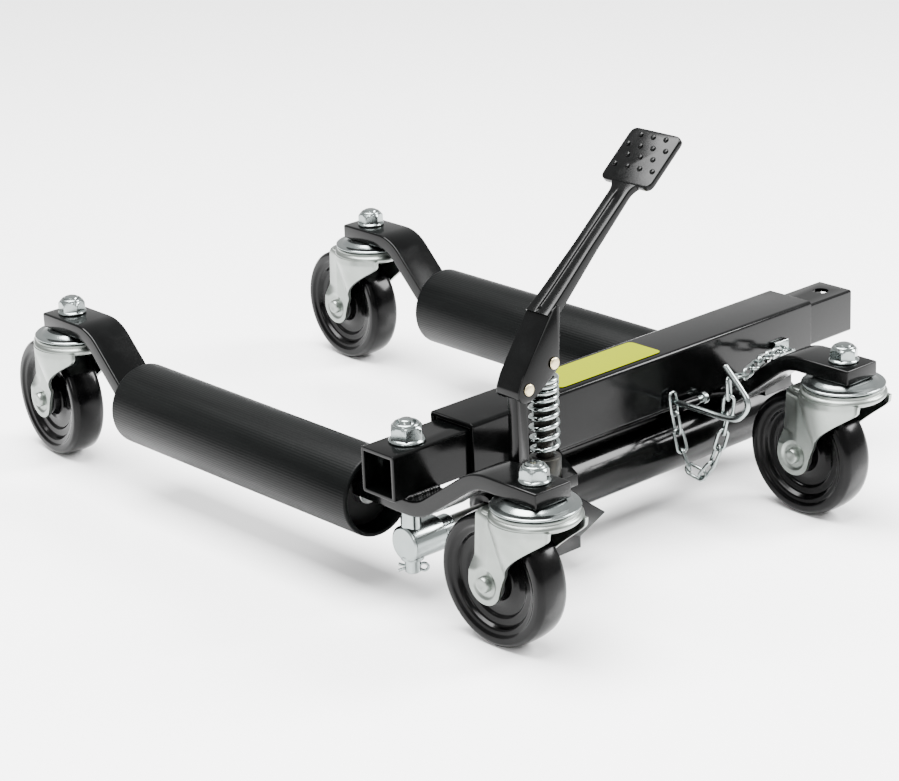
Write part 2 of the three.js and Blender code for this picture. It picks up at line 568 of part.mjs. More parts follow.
// Keeper chain: from an eye on the sleeve over the arm, by the pin's free end, back to its leg.
const chainRoute = new THREE.CatmullRomCurve3([
  new THREE.Vector3(375, 104, 99), new THREE.Vector3(352, 94, 106), new THREE.Vector3(323, 76, 114),
  new THREE.Vector3(296, 60, 121), new THREE.Vector3(268, 51, 120), new THREE.Vector3(259, 52, 104),
  new THREE.Vector3(258, 59, 80), new THREE.Vector3(255, 70, 48), new THREE.Vector3(252, 84, 33),
  new THREE.Vector3(251, 97, 46), new THREE.Vector3(252, 103, 68), new THREE.Vector3(252, 105, 83),
]);
add(dolly, 'pin_chain', wire(chainRoute, 3, 6, 40), zinc);
const anchorPlate = box(368, 384, SLEEVE_NEAR - 3 - CLEARANCE, SLEEVE_NEAR - CLEARANCE, 91, 107);
const anchorBar = bar('y', 2.4, 99, SLEEVE_NEAR - 2, 10).translate(380, 0, 99);
add(dolly, 'chain_anchor', join(anchorPlate, anchorBar), zinc);
const lugTurned = turned([
  [0, 256], [4.2, 256], [4.2, 274], [3, 274.4], [3, 279.5], [4.9, 280], [4.9, 284.5], [0, 284.5],
], 14);
add(dolly, 'sleeve_lug_bolt', layAlongX(lugTurned), zinc)
  .position.set(0, SLEEVE_NEAR - 4.9 - CLEARANCE, SLEEVE_BASE + 2);

// Put the origin at the bottom centre of the whole object.
const bounds = new THREE.Box3().setFromObject(dolly, true);
const middle = bounds.getCenter(new THREE.Vector3());
dolly.position.set(-middle.x, -middle.y, -bounds.min.z);

export default dolly;
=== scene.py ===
"""Wheel dolly: a telescoping frame on four swivel casters with two tyre rollers and a foot pump."""

import json
import math

import bmesh
import bpy
import numpy as np
from mathutils import Matrix, Vector


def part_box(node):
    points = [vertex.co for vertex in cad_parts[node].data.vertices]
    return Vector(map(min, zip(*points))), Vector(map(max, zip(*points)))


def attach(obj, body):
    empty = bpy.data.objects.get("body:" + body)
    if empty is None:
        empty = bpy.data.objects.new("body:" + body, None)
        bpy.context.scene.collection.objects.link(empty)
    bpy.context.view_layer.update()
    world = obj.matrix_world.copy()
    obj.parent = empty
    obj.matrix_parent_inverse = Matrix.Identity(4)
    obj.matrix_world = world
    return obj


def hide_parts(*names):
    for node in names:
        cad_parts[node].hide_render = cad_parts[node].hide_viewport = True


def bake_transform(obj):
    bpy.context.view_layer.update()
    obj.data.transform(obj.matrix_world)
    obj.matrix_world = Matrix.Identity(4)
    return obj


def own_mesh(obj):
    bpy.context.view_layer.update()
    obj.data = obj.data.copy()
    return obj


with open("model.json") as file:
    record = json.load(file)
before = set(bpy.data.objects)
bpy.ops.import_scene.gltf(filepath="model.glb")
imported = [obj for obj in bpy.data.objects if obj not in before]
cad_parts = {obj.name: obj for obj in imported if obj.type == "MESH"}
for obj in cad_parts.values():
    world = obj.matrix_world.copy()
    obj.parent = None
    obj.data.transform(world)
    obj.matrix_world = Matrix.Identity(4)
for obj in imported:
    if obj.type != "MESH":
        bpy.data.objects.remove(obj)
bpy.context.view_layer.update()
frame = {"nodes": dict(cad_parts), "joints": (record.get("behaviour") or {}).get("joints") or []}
MM = 0.001

# Studio: a pale floor under a white world, a broad light overhead and two soft side lights.
# The camera stands off the pump corner, 0.85 m up, with a long lens.
FLOOR_HALF = 6.0
CAMERA_PLACE = np.array([-1.4255, -1.5791, 0.8455])
CAMERA_HEADING, CAMERA_DIP, CAMERA_ROLL = math.radians(48.53), math.radians(20.20), math.radians(-2.43)
CAMERA_LENS = 111.67


def aim_camera():
    """Axes from heading, dip and roll: forward points down by the dip, right is level, then both roll."""
    flat = math.cos(CAMERA_DIP)
    heading_x, heading_y = math.cos(CAMERA_HEADING), math.sin(CAMERA_HEADING)
    forward = np.array([heading_x * flat, heading_y * flat, -math.sin(CAMERA_DIP)])
    level = np.array([heading_y, -heading_x, 0.0])
    rise = np.cross(level, forward)
    turn, tip = math.cos(CAMERA_ROLL), math.sin(CAMERA_ROLL)
    right, up = turn * level + tip * rise, turn * rise - tip * level
    data = bpy.data.cameras.new("camera")
    data.lens, data.sensor_width, data.clip_end = CAMERA_LENS, 36.0, 50.0
    camera = bpy.data.objects.new("camera", data)
    pose = np.eye(4)
    pose[:3, :3] = np.column_stack([right, up, -forward])
    pose[:3, 3] = CAMERA_PLACE
    camera.matrix_world = Matrix(pose.tolist())
    bpy.context.scene.collection.objects.link(camera)
    bpy.context.scene.camera = camera


def soft_light(name, place, target, size, watts):
    data = bpy.data.lights.new(name, "AREA")
    data.shape, data.size, data.size_y, data.energy = "RECTANGLE", size[0], size[1], watts
    light = bpy.data.objects.new(name, data)
    direction = Vector(target) - Vector(place)
    light.matrix_world = Matrix.Translation(place) @ direction.to_track_quat("-Z", "Y").to_matrix().to_4x4()
    bpy.context.scene.collection.objects.link(light)


class Value:
    """One socket of a material: arithmetic on it adds the Math nodes."""

    def __init__(self, tree, socket):
        self.tree, self.socket = tree, socket

    def maths(self, operation, *operands):
        node = self.tree.nodes.new("ShaderNodeMath")
        node.operation = operation
        for place, operand in enumerate(operands):
            if isinstance(operand, Value):
                self.tree.links.new(operand.socket, node.inputs[place])
            else:
                node.inputs[place].default_value = operand
        return Value(self.tree, node.outputs[0])

    def __add__(self, other):
        return self.maths("ADD", self, other)

    def __radd__(self, other):
        return self.maths("ADD", other, self)

    def __mul__(self, other):
        return self.maths("MULTIPLY", self, other)

    def above(self, low, high):
        """0 below low, 1 above high, straight between."""
        node = self.tree.nodes.new("ShaderNodeMapRange")
        node.inputs["From Min"].default_value, node.inputs["From Max"].default_value = low, high
        self.tree.links.new(self.socket, node.inputs["Value"])
        return Value(self.tree, node.outputs["Result"])


class Finish:
    """A material with one Principled shader; set() gives its sockets numbers, colours or Values."""

    def __init__(self, name, **settings):
        self.material = bpy.data.materials.new(name)
        self.material.use_nodes = True
        self.tree = self.material.node_tree
        self.shader = self.tree.nodes["Principled BSDF"]
        self.place = Value(self.tree, self.tree.nodes.new("ShaderNodeTexCoord").outputs["Object"])
        self.set(**settings)

    def set(self, **settings):
        for name, value in settings.items():
            self.feed(self.shader.inputs[name.replace("_", " ")], value)
        return self

    def feed(self, socket, value):
        if isinstance(value, Value):
            self.tree.links.new(value.socket, socket)
        elif isinstance(value, (tuple, list)) and socket.type == "RGBA":
            socket.default_value = (*value, 1.0)[:4]
        else:
            socket.default_value = value

    def node(self, kind, settings=None, inputs=None, output=0):
        """Add a node: settings first, then the values or links of its sockets; returns one output."""
        node = self.tree.nodes.new(kind)
        for name, value in (settings or {}).items():
            setattr(node, name, value)
        for name, value in (inputs or {}).items():
            self.feed(node.inputs[name], value)
        return Value(self.tree, node.outputs[output])

    def noise(self, per_metre, detail=3.0, rough=0.5, stretch=None):
        """Noise from 0 to 1 on the object's own coordinates, with so many lumps in a metre."""
        place = self.place
        if stretch:
            place = self.node("ShaderNodeMapping", {}, {"Vector": place, "Scale": stretch})
        return self.node("ShaderNodeTexNoise", {"noise_dimensions": "3D"},
                         {"Vector": place, "Scale": per_metre, "Detail": detail, "Roughness": rough})

    def blend(self, amount, first, second):
        """Colour between first and second."""
        return self.node("ShaderNodeMix", {"data_type": "RGBA"}, {0: amount, 6: first, 7: second}, output=2)

    def bump(self, height, depth, strength=1.0):
        """Surface relief of this depth in metres."""
        relief = {"Strength": strength, "Distance": depth, "Height": height}
        return self.set(Normal=self.node("ShaderNodeBump", {}, relief))


aim_camera()
world = bpy.data.worlds.new("studio")
world.use_nodes = True
world.node_tree.nodes["Background"].inputs["Color"].default_value = (1.0, 1.0, 1.0, 1.0)
world.node_tree.nodes["Background"].inputs["Strength"].default_value = 1.0
bpy.context.scene.world = world
soft_light("overhead", (-0.5, 0.3, 3.0), (-0.1, 0.3, 0.0), (3.0, 2.0), 620.0)
soft_light("pump_side", (-2.4, -1.0, 1.2), (0.0, 0.0, 0.1), (0.5, 0.9), 22.0)
soft_light("right_side", (1.75, -1.3, 1.6), (0.05, -0.1, 0.1), (0.9, 1.3), 180.0)
sweep = bpy.data.meshes.new("studio_floor")
sweep.from_pydata([(x * FLOOR_HALF, y * FLOOR_HALF, 0.0) for x, y in ((-1, -1), (1, -1), (1, 1), (-1, 1))],
                  [], [(0, 1, 2, 3)])
floor = bpy.data.objects.new("studio_floor", sweep)
bpy.context.scene.collection.objects.link(floor)
floor_finish = Finish("studio_white", Base_Color=(0.95, 0.95, 0.95), Roughness=0.16, Specular_IOR_Level=0.6)
sweep.materials.append(floor_finish.material)

# Arm bars: 34 by 12 mm hot rolled flat, bent cold over the casters and down to the rollers.
# Each is sawn, deburred, drilled for the caster stem, welded and powder coated gloss black.
BAR_WIDTH, BAR_THICK = 34 * MM, 12 * MM
BAR_BEND = 13 * MM


def eased(corners, radius, steps=5, closed=False):
    """Round the corners of a flat outline: each corner becomes a quadratic curve that starts and
    ends the radius away along its two sides, or half a side away where the side is short."""
    corners = np.asarray(corners, float)
    radii = np.broadcast_to(np.asarray(radius, float), len(corners))
    t = np.linspace(0.0, 1.0, steps + 1)[:, None]
    run = []
    for place, corner in enumerate(corners):
        if not closed and place in (0, len(corners) - 1):
            run.append(corner[None])
            continue
        before, after = corners[place - 1] - corner, corners[(place + 1) % len(corners)] - corner
        reach = [min(radii[place], 0.499 * np.linalg.norm(side)) for side in (before, after)]
        if min(reach) < 1e-7:
            run.append(corner[None])
            continue
        start = corner + before / np.linalg.norm(before) * reach[0]
        end = corner + after / np.linalg.norm(after) * reach[1]
        run.append((1 - t) ** 2 * start + 2 * t * (1 - t) * corner + t ** 2 * end)
    return np.concatenate(run)


def shell(points, ring=False):
    """A grid of points whose columns go round becomes a closed skin: open ends get one flat face
    each, and with ring the last row joins the first. Faces are turned outwards by volume."""
    points = np.asarray(points, float)
    rows, columns = points.shape[:2]
    index = np.arange(rows * columns).reshape(rows, columns)
    beside = np.roll(index, -1, axis=1)
    if ring:
        quads = np.stack([index, beside, np.roll(beside, -1, axis=0), np.roll(index, -1, axis=0)], -1)
    else:
        quads = np.stack([index[:-1], beside[:-1], beside[1:], index[1:]], -1)
    quads = quads.reshape(-1, 4)
    flat = points.reshape(-1, 3)
    a, b, c, d = (flat[quads[:, k]] for k in range(4))
    middle = flat.mean(axis=0)
    a, b, c, d = a - middle, b - middle, c - middle, d - middle
    volume = np.einsum("ij,ij->", a, np.cross(b, c) + np.cross(c, d))
    faces = quads.tolist()
    if not ring:
        faces += [index[0][::-1].tolist(), index[-1].tolist()]
    if volume < 0:
        faces = [face[::-1] for face in faces]
    return flat, faces


def piece(name, shells, finish, body, stands_for=(), smooth=38.0):
    """Join skins into one object at the origin, give it its finish and body, and hide the CAD nodes it
    stands for.
    """
    points, faces, start = [], [], 0
    for flat, quads in shells:
        points.append(flat)
        faces += [[corner + start for corner in quad] for quad in quads]
        start += len(flat)
    mesh = bpy.data.meshes.new(name)
    mesh.from_pydata(np.concatenate(points).tolist(), [], faces)
    return finished(name, mesh, finish, body, stands_for, smooth)


def finished(name, mesh, finish, body, stands_for=(), smooth=38.0):
    """Shade a mesh smooth up to an angle and make it an object that rides its body."""
    mesh.polygons.foreach_set("use_smooth", [True] * len(mesh.polygons))
    mesh.set_sharp_from_angle(angle=math.radians(smooth))
    mesh.materials.clear()
    mesh.materials.append(finish.material)
    thing = bpy.data.objects.new(name, mesh)
    bpy.context.scene.collection.objects.link(thing)
    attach(thing, body)
    if stands_for:
        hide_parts(*stands_for)
    return thing


def block(width, height, corner, steps=4):
    """Outline of a rectangle with round corners, its middle at zero."""
    w, h = width / 2, height / 2
    return eased([(-w, -h), (w, -h), (w, h), (-w, h)], corner, steps, closed=True)


def swept(outlines, path, across):
    """Carry outlines along a path: an outline's first number goes along the across direction and its
    second square to that and the path."""
    path, across = np.asarray(path, float), np.asarray(across, float)
    along = np.gradient(path, axis=0)
    along /= np.linalg.norm(along, axis=1, keepdims=True)
    up = np.cross(along, across)
    up /= np.linalg.norm(up, axis=1, keepdims=True)
    side = np.cross(up, along)
    outlines = np.broadcast_to(outlines, (len(path), *np.shape(outlines)[-2:]))
    return path[:, None] + outlines[..., :1] * side[:, None] + outlines[..., 1:] * up[:, None]


def eased_ends(path, edge, steps=3):
    """Extra places at both ends of a path, with how far the outline draws in there: a quarter circle."""
    path = np.asarray(path, float)
    angle = np.linspace(0.0, math.pi / 2, steps + 1)[:, None]
    first, last = path[1] - path[0], path[-1] - path[-2]
    first, last = first / np.linalg.norm(first), last / np.linalg.norm(last)
    run = edge * (1 - np.cos(angle))
    route = np.concatenate([path[0] + run * first, path[1:-1], path[-1] - (run * last)[::-1]])
    inset = edge * (1 - np.sin(angle[:, 0]))
    return route, np.concatenate([inset, np.zeros(len(path) - 2), inset[::-1]])


def bar_skin(path, width, height, corner, edge, across):
    """A rectangular bar along a path, with rounded long edges and rounded ends."""
    route, inset = eased_ends(path, edge)
    corners = np.maximum(corner - inset, corner * 0.3)
    outlines = np.stack([block(width - 2 * i, height - 2 * i, c) for i, c in zip(inset, corners)])
    return shell(swept(outlines, route, across))


def powder_coat(name, colour=(0.0007, 0.0008, 0.0008)):
    """Gloss black powder coat: near black, faint orange peel, a little dust that dulls the gloss."""
    coat = Finish(name, Metallic=0.0, IOR=1.42, Specular_IOR_Level=0.17)
    dust = coat.noise(38.0, 5.0, 0.6)
    coat.set(Base_Color=coat.blend(dust.above(0.5, 0.85), colour, tuple(c * 2.0 + 0.0005 for c in colour)))
    coat.set(Roughness=0.13 + dust.above(0.4, 0.8) * 0.12)
    return coat.bump(coat.noise(900.0, 2.0), 0.00003, 0.5)


gloss_black = powder_coat("gloss_black_powder_coat")


def arm_path(x, corners):
    flat = eased(corners, BAR_BEND, 8)
    return np.column_stack([np.full(len(flat), x), flat])


def arm(end, side, body):
    node = f"{end}_arm_{side}"
    low, high = (np.array(corner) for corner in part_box(node))
    x, top, bottom = (low[0] + high[0]) / 2, high[2] - BAR_THICK / 2, low[2] + BAR_THICK / 2
    drop = top - bottom
    if end == "near":
        corners = [(low[1], top), (low[1] + 62 * MM, top), (low[1] + 122 * MM, bottom), (high[1], bottom)]
    else:
        level = high[1] - 59 * MM
        corners = [(low[1], bottom), (level - drop, bottom), (level, top), (high[1], top)]
    skin = bar_skin(arm_path(x, corners), BAR_WIDTH, BAR_THICK, 1.6 * MM, 0.9 * MM, (1.0, 0.0, 0.0))
    piece(f"{end}_{side}_arm_bar", [skin], gloss_black, body, [node])


for side, body in (("left", "carriage"), ("right", "root")):
    for end in ("near", "far"):
        arm(end, side, body)

# Casters: zinc plated pressed forks on ball races, hung from threaded stems, with glossy black
# resin wheels. The stem goes up through the arm and takes a flanged lock nut.
CASTERS = {"near_left": "carriage", "near_right": "root", "far_left": "carriage", "far_right": "root"}


def zinc_plate(name, colour=(0.225, 0.245, 0.228), rough=0.26, spread=0.16):
    """Bright zinc: a pale metal with soft cloudy patches and fine drawing marks."""
    zinc = Finish(name, Metallic=1.0)
    cloud = zinc.noise(55.0, 4.0, 0.55)
    fine = zinc.noise(700.0, 3.0, 0.6)
    zinc.set(Base_Color=zinc.blend(cloud.above(0.3, 0.75), colour, tuple(c * 0.86 for c in colour)))
    zinc.set(Roughness=rough + cloud.above(0.3, 0.8) * spread + fine * 0.05)
    return zinc.bump(fine, 0.00002, 0.4)


def resin(name):
    """Black resin moulding: deep gloss, faint flow marks and scuffs that lift the roughness."""
    black = Finish(name, IOR=1.42, Specular_IOR_Level=0.15)
    scuff = black.noise(70.0, 6.0, 0.65)
    worn = scuff.above(0.45, 0.8)
    black.set(Base_Color=black.blend(worn, (0.0006, 0.0006, 0.0007), (0.002, 0.002, 0.002)))
    black.set(Roughness=0.16 + worn * 0.12)
    return black.bump(black.noise(500.0, 2.0), 0.00002, 0.4)


bright_zinc, wheel_resin = zinc_plate("bright_zinc_plate"), resin("black_wheel_resin")
shiny_zinc = zinc_plate("polished_zinc_hardware", (0.26, 0.29, 0.285), 0.13, 0.12)


def turned(profile, segments=72):
    """Turn a profile of (radius, height) about Z: a point is radius times the circle, at its height."""
    profile = np.asarray(profile, float)
    angle = np.linspace(0.0, 2 * math.pi, segments, endpoint=False)
    circle = np.column_stack([np.cos(angle), np.sin(angle)])
    rounds = profile[:, None, :1] * circle[None]
    return np.concatenate([rounds, np.broadcast_to(profile[:, None, 1:], (*rounds.shape[:2], 1))], -1)


def moved(skin, turn=np.eye(3), shift=(0.0, 0.0, 0.0)):
    """Turn a skin by a matrix, then shift it."""
    points, faces = skin
    return points @ np.asarray(turn).T + np.asarray(shift), faces


def about_z(angle):
    """Matrix that turns by an angle about Z."""
    c, s = math.cos(angle), math.sin(angle)
    return np.array([[c, -s, 0.0], [s, c, 0.0], [0.0, 0.0, 1.0]])


Z_TO_Y = np.array([[1.0, 0, 0], [0, 0, 1.0], [0, -1.0, 0]])
Z_TO_X = np.array([[0, 0, 1.0], [0, 1.0, 0], [-1.0, 0, 0]])


def stem_skins():
    """Upper race: a domed pressed ring. Stem end: a threaded stub whose ridges are 1.5 mm apart.
    King pin: a plain shank up through the fork to the upper race, with a flat head below."""
    dome = np.array([(7, 112.2), (31.4, 112.2), (32.3, 113.2), (31.2, 114.3), (26.5, 114.6),
                     (24.2, 115.6), (21.5, 117.1), (17, 117.7), (7, 117.7)])
    race = eased(dome * MM, 0.7 * MM, 3, closed=True)
    ridges = np.arange(20)
    thread = np.column_stack([5.95 - 0.55 * (ridges % 2), 129.0 + 0.75 * ridges])
    stub = np.concatenate([[(5.6, 128.5)], thread, [(5.2, 143.7), (4.4, 144.0), (1.0, 144.0)]]) * MM
    king = eased(np.array([(1, 100.3), (10, 100.3), (11, 101.2), (10.4, 102.2), (8, 102.2), (8, 112.4),
                           (1, 112.4)]) * MM, 0.5 * MM, 3)
    return [shell(turned(race), ring=True), shell(turned(stub, 48)), shell(turned(king, 48))]


def nut_skins(base, size=1.0):
    """Flanged lock nut, 19 mm across flats at size 1: the side radius is the smaller of a hexagon's
    and a 30 degree cone's, and the collar over the nylon ring is a small dome."""
    angle = np.linspace(0.0, 2 * math.pi, 96, endpoint=False)
    hexagon = 9.5 / np.cos((angle + math.pi / 6) % (math.pi / 3) - math.pi / 6)
    height = np.array([1.6, 3.2, 6.0, 8.4, 9.2, 9.9, 10.5])
    cone = np.where(height > 8.2, 11.1 - (height - 8.2) * 0.85, 12.0)
    radius = np.minimum(hexagon[None], cone[:, None])
    points = np.stack([radius * np.cos(angle), radius * np.sin(angle),
                       np.broadcast_to(height[:, None], radius.shape)], -1) * MM * size
    flange = eased(np.array([(6.5, 0), (11.4, 0), (11.6, 1.1), (10.2, 2.5), (6.5, 2.8)]), 0.5, 3, True)
    collar = eased(np.array([(6.1, 9.9), (8.7, 9.9), (8.4, 11.4), (7.4, 12.3), (6.2, 12.2)]), 0.7, 4, True)
    skins = [shell(points)] + [shell(turned(ring * MM * size), ring=True) for ring in (flange, collar)]
    return [moved(skin, shift=(0, 0, base)) for skin in skins]


AXLE_BACK, AXLE_HIGH = 33.0, 50.0
FOOT_RADIUS, LEG_PLANE, LEG_HALF = 15.5, 18.5, 1.4


def fork_leg(side):
    """One pressed leg on a grid of height z and width x. The leg is flat at 18.5 mm off the middle
    where it faces the wheel, and ahead of a crease it swells out on a cone about the swivel axis,
    whose radius grows from 18 mm low down to 32 mm at the race. The rear strip folds in at the top,
    and the foot is dished round the rivet."""
    turn = np.linspace(0.0, 1.0, 60)[:, None]
    z = 105.3 - (105.3 - 34.55) * np.sin(turn * math.pi / 2) ** 1.15
    foot = np.sqrt(np.clip(FOOT_RADIUS ** 2 - (z - AXLE_HIGH) ** 2, 0.25, None))
    rear = np.where(z > AXLE_HIGH, 48.5 - 5.6 * ((z - AXLE_HIGH) / 55.0), AXLE_BACK + foot)
    rear = rear - 5.0 * np.clip((z - 99.5) / 6.0, 0.0, 1.0) ** 2.2
    levels = [42.3, 50, 56, 62, 68, 74, 80, 85, 90, 94, 97, 99.5, 105.5]
    edge = [19.5, 17.2, 15.0, 12.0, 8.0, 2.6, -4.2, -10.6, -17.6, -23.4, -27.4, -29.8, -30.5]
    front = np.where(z > levels[0], np.interp(z, levels, edge), AXLE_BACK - foot)
    across = np.linspace(0.0, 1.0, 56)[None]
    x = front + (rear - front) * across
    cone = 18.0 + 14.4 * np.clip((z - AXLE_HIGH) / 50.0, 0.0, 1.0) ** 0.9
    swell = np.sqrt(np.clip(cone ** 2 - x ** 2, 0.0, None))
    mid = 0.5 * (swell + LEG_PLANE + np.sqrt((swell - LEG_PLANE) ** 2 + 1.2))
    mid = mid - 0.30 * np.clip(x - 29.0, 0, None) * np.clip((z - 58.0) / 10.0, 0, 1)
    mid = mid - 4.5 * np.clip((z - 98.0) / 7.5, 0.0, 1.0) ** 2 * np.clip((x - 20.0) / 8.0, 0.0, 1.0)
    away = np.hypot(x - AXLE_BACK, z - AXLE_HIGH)
    mid = mid - 1.3 * np.clip((11.6 - away) / 2.0, 0.0, 1.0)
    outer = np.stack([x, side * (mid + LEG_HALF), np.broadcast_to(z, x.shape)], -1)
    inner = np.stack([x, side * (mid - LEG_HALF), np.broadcast_to(z, x.shape)], -1)
    return shell(np.concatenate([outer, inner[:, ::-1]], axis=1) * MM)


def plate(outline, low, high, edge):
    """A flat plate from an outline, with its rim rounded by drawing the end rings in."""
    outline = np.asarray(outline, float)
    middle = outline.mean(axis=0)
    size = np.abs(outline - middle).max(axis=0)
    angle = np.linspace(0.0, math.pi / 2, 4)
    inset = edge * (1 - np.sin(angle))
    rise = edge * (1 - np.cos(angle))
    levels = np.concatenate([low + rise, (high - rise)[::-1]])
    scale = 1 - np.concatenate([inset, inset[::-1]])[:, None, None] / size
    flat = middle + (outline - middle)[None] * scale
    return shell(np.concatenate([flat, np.broadcast_to(levels[:, None, None], (*flat.shape[:2], 1))], -1))


def fork_skins():
    """Lower race: a pressed ring with a rolled rim. Crown: the flat bridge between the two legs."""
    rim = np.array([(9, 101.5), (27, 101.5), (30.8, 102.6), (33.2, 104.9), (33.4, 106.6),
                    (32.2, 108.3), (31.0, 108.9), (30.9, 111.3), (9, 111.3)])
    race = eased(rim * MM, 1.0 * MM, 4, closed=True)
    crown = eased([(-20, -19.4), (34, -19.4), (39, -14.5), (39, 14.5), (34, 19.4), (-20, 19.4),
                   (-29, 8), (-29, -8)], 4.0, 4, closed=True)
    return [shell(turned(race, 96), ring=True), plate(crown * MM, 102.4 * MM, 105.4 * MM, 1.3 * MM),
            fork_leg(1), fork_leg(-1)]


def axle_skins():
    """Riveted axle: a plain shank with a dished head outside each leg, and a thrust washer inside."""
    half = np.array([(6, 16.2), (6, 19.6), (5.9, 21.6), (5.3, 22.8), (3.6, 23.4), (2.2, 23.0), (0.4, 22.9)])
    profile = np.concatenate([half[::-1] * (1, -1), half]) * MM
    flat_ring = np.array([(6, 16.0), (12.8, 16.0), (13.6, 16.6), (12.8, 17.4), (6, 17.4)])
    washer = eased(flat_ring * MM, 0.3 * MM, 3, True)
    rings = [shell(turned(washer * (1, s), 56) @ Z_TO_Y.T, ring=True) for s in (1, -1)]
    return [shell(turned(profile, 48) @ Z_TO_Y.T), *rings]


def wheel_skins():
    """Moulded wheel: a crowned tread, a flat lip, a wall down to a stepped dish, and a hub boss."""
    boss, dish = [(6.4, 15.5), (12.4, 15.5), (14.0, 14.2)], [(15.4, 7.4), (21.0, 6.2), (27.5, 6.0)]
    step = [(28.8, 7.8), (34.5, 8.2), (36.6, 12.0)]
    lip = [(40.2, 12.6), (41.8, 13.9), (46.6, 14.0), (49.0, 11.6)]
    side = eased([*boss, *dish, *step, *lip], 1.1, 3)
    tread = [(49.5, 8.5), (49.9, 4.6), (50.0, 1.0)]
    half = np.concatenate([side, tread])
    profile = np.concatenate([half, (half * (1, -1))[::-1]]) * MM
    return [shell(turned(profile, 128) @ Z_TO_Y.T, ring=True)]


def middle_of(node):
    low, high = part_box(node)
    return (np.array(low) + np.array(high)) / 2


for name, carrier in CASTERS.items():
    stem, axle = middle_of(f"{name}_stem"), middle_of(f"{name}_axle")
    heading = math.atan2(axle[1] - stem[1], axle[0] - stem[0])
    upright = (stem[0], stem[1], 0.0)
    swing = about_z(heading)
    nut_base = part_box(f"{name}_stem_nut")[0][2]
    nut_turn = about_z(heading * 2)
    piece(f"{name}_stem_and_race", [moved(s, shift=upright) for s in stem_skins()], shiny_zinc, carrier,
          [f"{name}_stem"])
    piece(f"{name}_lock_nut", [moved(s, nut_turn, upright) for s in nut_skins(nut_base)], shiny_zinc,
          carrier, [f"{name}_stem_nut"], smooth=24.0)
    piece(f"{name}_pressed_fork", [moved(s, swing, upright) for s in fork_skins()], bright_zinc,
          f"{name}_swivel", [f"{name}_fork"])
    piece(f"{name}_axle_rivet", [moved(s, swing, axle) for s in axle_skins()], bright_zinc,
          f"{name}_swivel", [f"{name}_axle"])
    piece(f"{name}_resin_wheel", [moved(s, swing, axle) for s in wheel_skins()], wheel_resin,
          f"{name}_wheel_set", [f"{name}_wheel"])

# Rollers: steel tubes with fine ribs rolled along them, satin black. Each turns on two nylon bushes
# over a fixed steel shaft that joins the ends of two arms.
RIBS, RIB_DEPTH, ROLLER_BORE, BUSH_BORE = 96, 0.09 * MM, 28.5 * MM, 10.3 * MM


def roller_skin(node):
    """Outside radius falls by a rib's depth between ribs; the wall turns over each end into the bore."""
    low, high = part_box(node)
    radius = (high[2] - low[2]) / 2
    angle = np.linspace(0.0, 2 * math.pi, RIBS * 6, endpoint=False)
    rib = (0.5 + 0.5 * np.cos(angle * RIBS)) ** 0.6
    length = high[1] - low[1]
    wall = [(ROLLER_BORE, 0), (radius, 0), (radius, length), (ROLLER_BORE, length)]
    profile = eased(wall, 1.6 * MM, 4, closed=True)
    outside = profile[:, :1] > radius - 1.0 * MM
    radii = profile[:, :1] - np.where(outside, RIB_DEPTH, 0.0) * (1 - rib)[None]
    centre = middle_of(node)
    x, z = centre[0] + radii * np.cos(angle), centre[2] + radii * np.sin(angle)
    y = np.broadcast_to(low[1] + profile[:, 1:], radii.shape)
    return shell(np.stack([x, y, z], -1), ring=True)


def roller_finish():
    """Satin black with slightly paler, rougher streaks along the tube where tyres rub."""
    satin = Finish("satin_black_roller", Metallic=0.0, IOR=1.4, Specular_IOR_Level=0.09)
    streak = satin.noise(60.0, 4.0, 0.6, stretch=(1.0, 0.06, 1.0))
    dull = streak.above(0.35, 0.75)
    satin.set(Base_Color=satin.blend(dull, (0.0008, 0.0010, 0.0010), (0.0026, 0.0030, 0.0029)))
    satin.set(Roughness=0.30 + streak.above(0.3, 0.8) * 0.16)
    return satin.bump(satin.noise(1200.0, 2.0), 0.00002, 0.5)


def bare_steel(name):
    """Machined steel with an oil film: fine lathe marks and darker patches."""
    steel = Finish(name, Metallic=1.0)
    patch = steel.noise(90.0, 5.0, 0.6)
    steel.set(Base_Color=steel.blend(patch.above(0.35, 0.75), (0.34, 0.345, 0.34), (0.20, 0.20, 0.19)))
    steel.set(Roughness=0.24 + patch.above(0.3, 0.8) * 0.2)
    return steel.bump(steel.noise(1500.0, 2.0), 0.00002, 0.4)


def black_nylon():
    """Moulded black nylon: matt, with a faint mottle."""
    nylon = Finish("black_nylon", IOR=1.42, Specular_IOR_Level=0.3)
    mottle = nylon.noise(160.0, 3.0)
    nylon.set(Base_Color=nylon.blend(mottle, (0.006, 0.006, 0.006), (0.012, 0.012, 0.012)))
    return nylon.set(Roughness=0.5 + mottle * 0.1)


satin_black, plain_steel, nylon = roller_finish(), bare_steel("machined_steel"), black_nylon()


def collar_skin(node, bore, axis, edge=0.8 * MM, segments=72):
    """A ring that fills a node's box, with a bore and eased edges, about X or Y."""
    low, high = (np.array(corner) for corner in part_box(node))
    k = 0 if axis is Z_TO_X else 1
    radius, half = (high[2] - low[2]) / 2, (high[k] - low[k]) / 2
    profile = eased([(bore, -half), (radius, -half), (radius, half), (bore, half)], edge, 3, closed=True)
    return moved(shell(turned(profile, segments) @ axis.T, ring=True), shift=(low + high) / 2)


def round_bar(node, axis, edge=1.0 * MM, segments=64):
    """A solid round bar that fills a node's box, with eased ends, about X or Y."""
    low, high = (np.array(corner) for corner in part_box(node))
    k = 0 if axis is Z_TO_X else 1
    radius, half = (high[2] - low[2]) / 2, (high[k] - low[k]) / 2
    profile = eased([(radius * 0.2, -half), (radius, -half), (radius, half), (radius * 0.2, half)], edge, 3)
    return moved(shell(turned(profile, segments) @ axis.T), shift=(low + high) / 2)


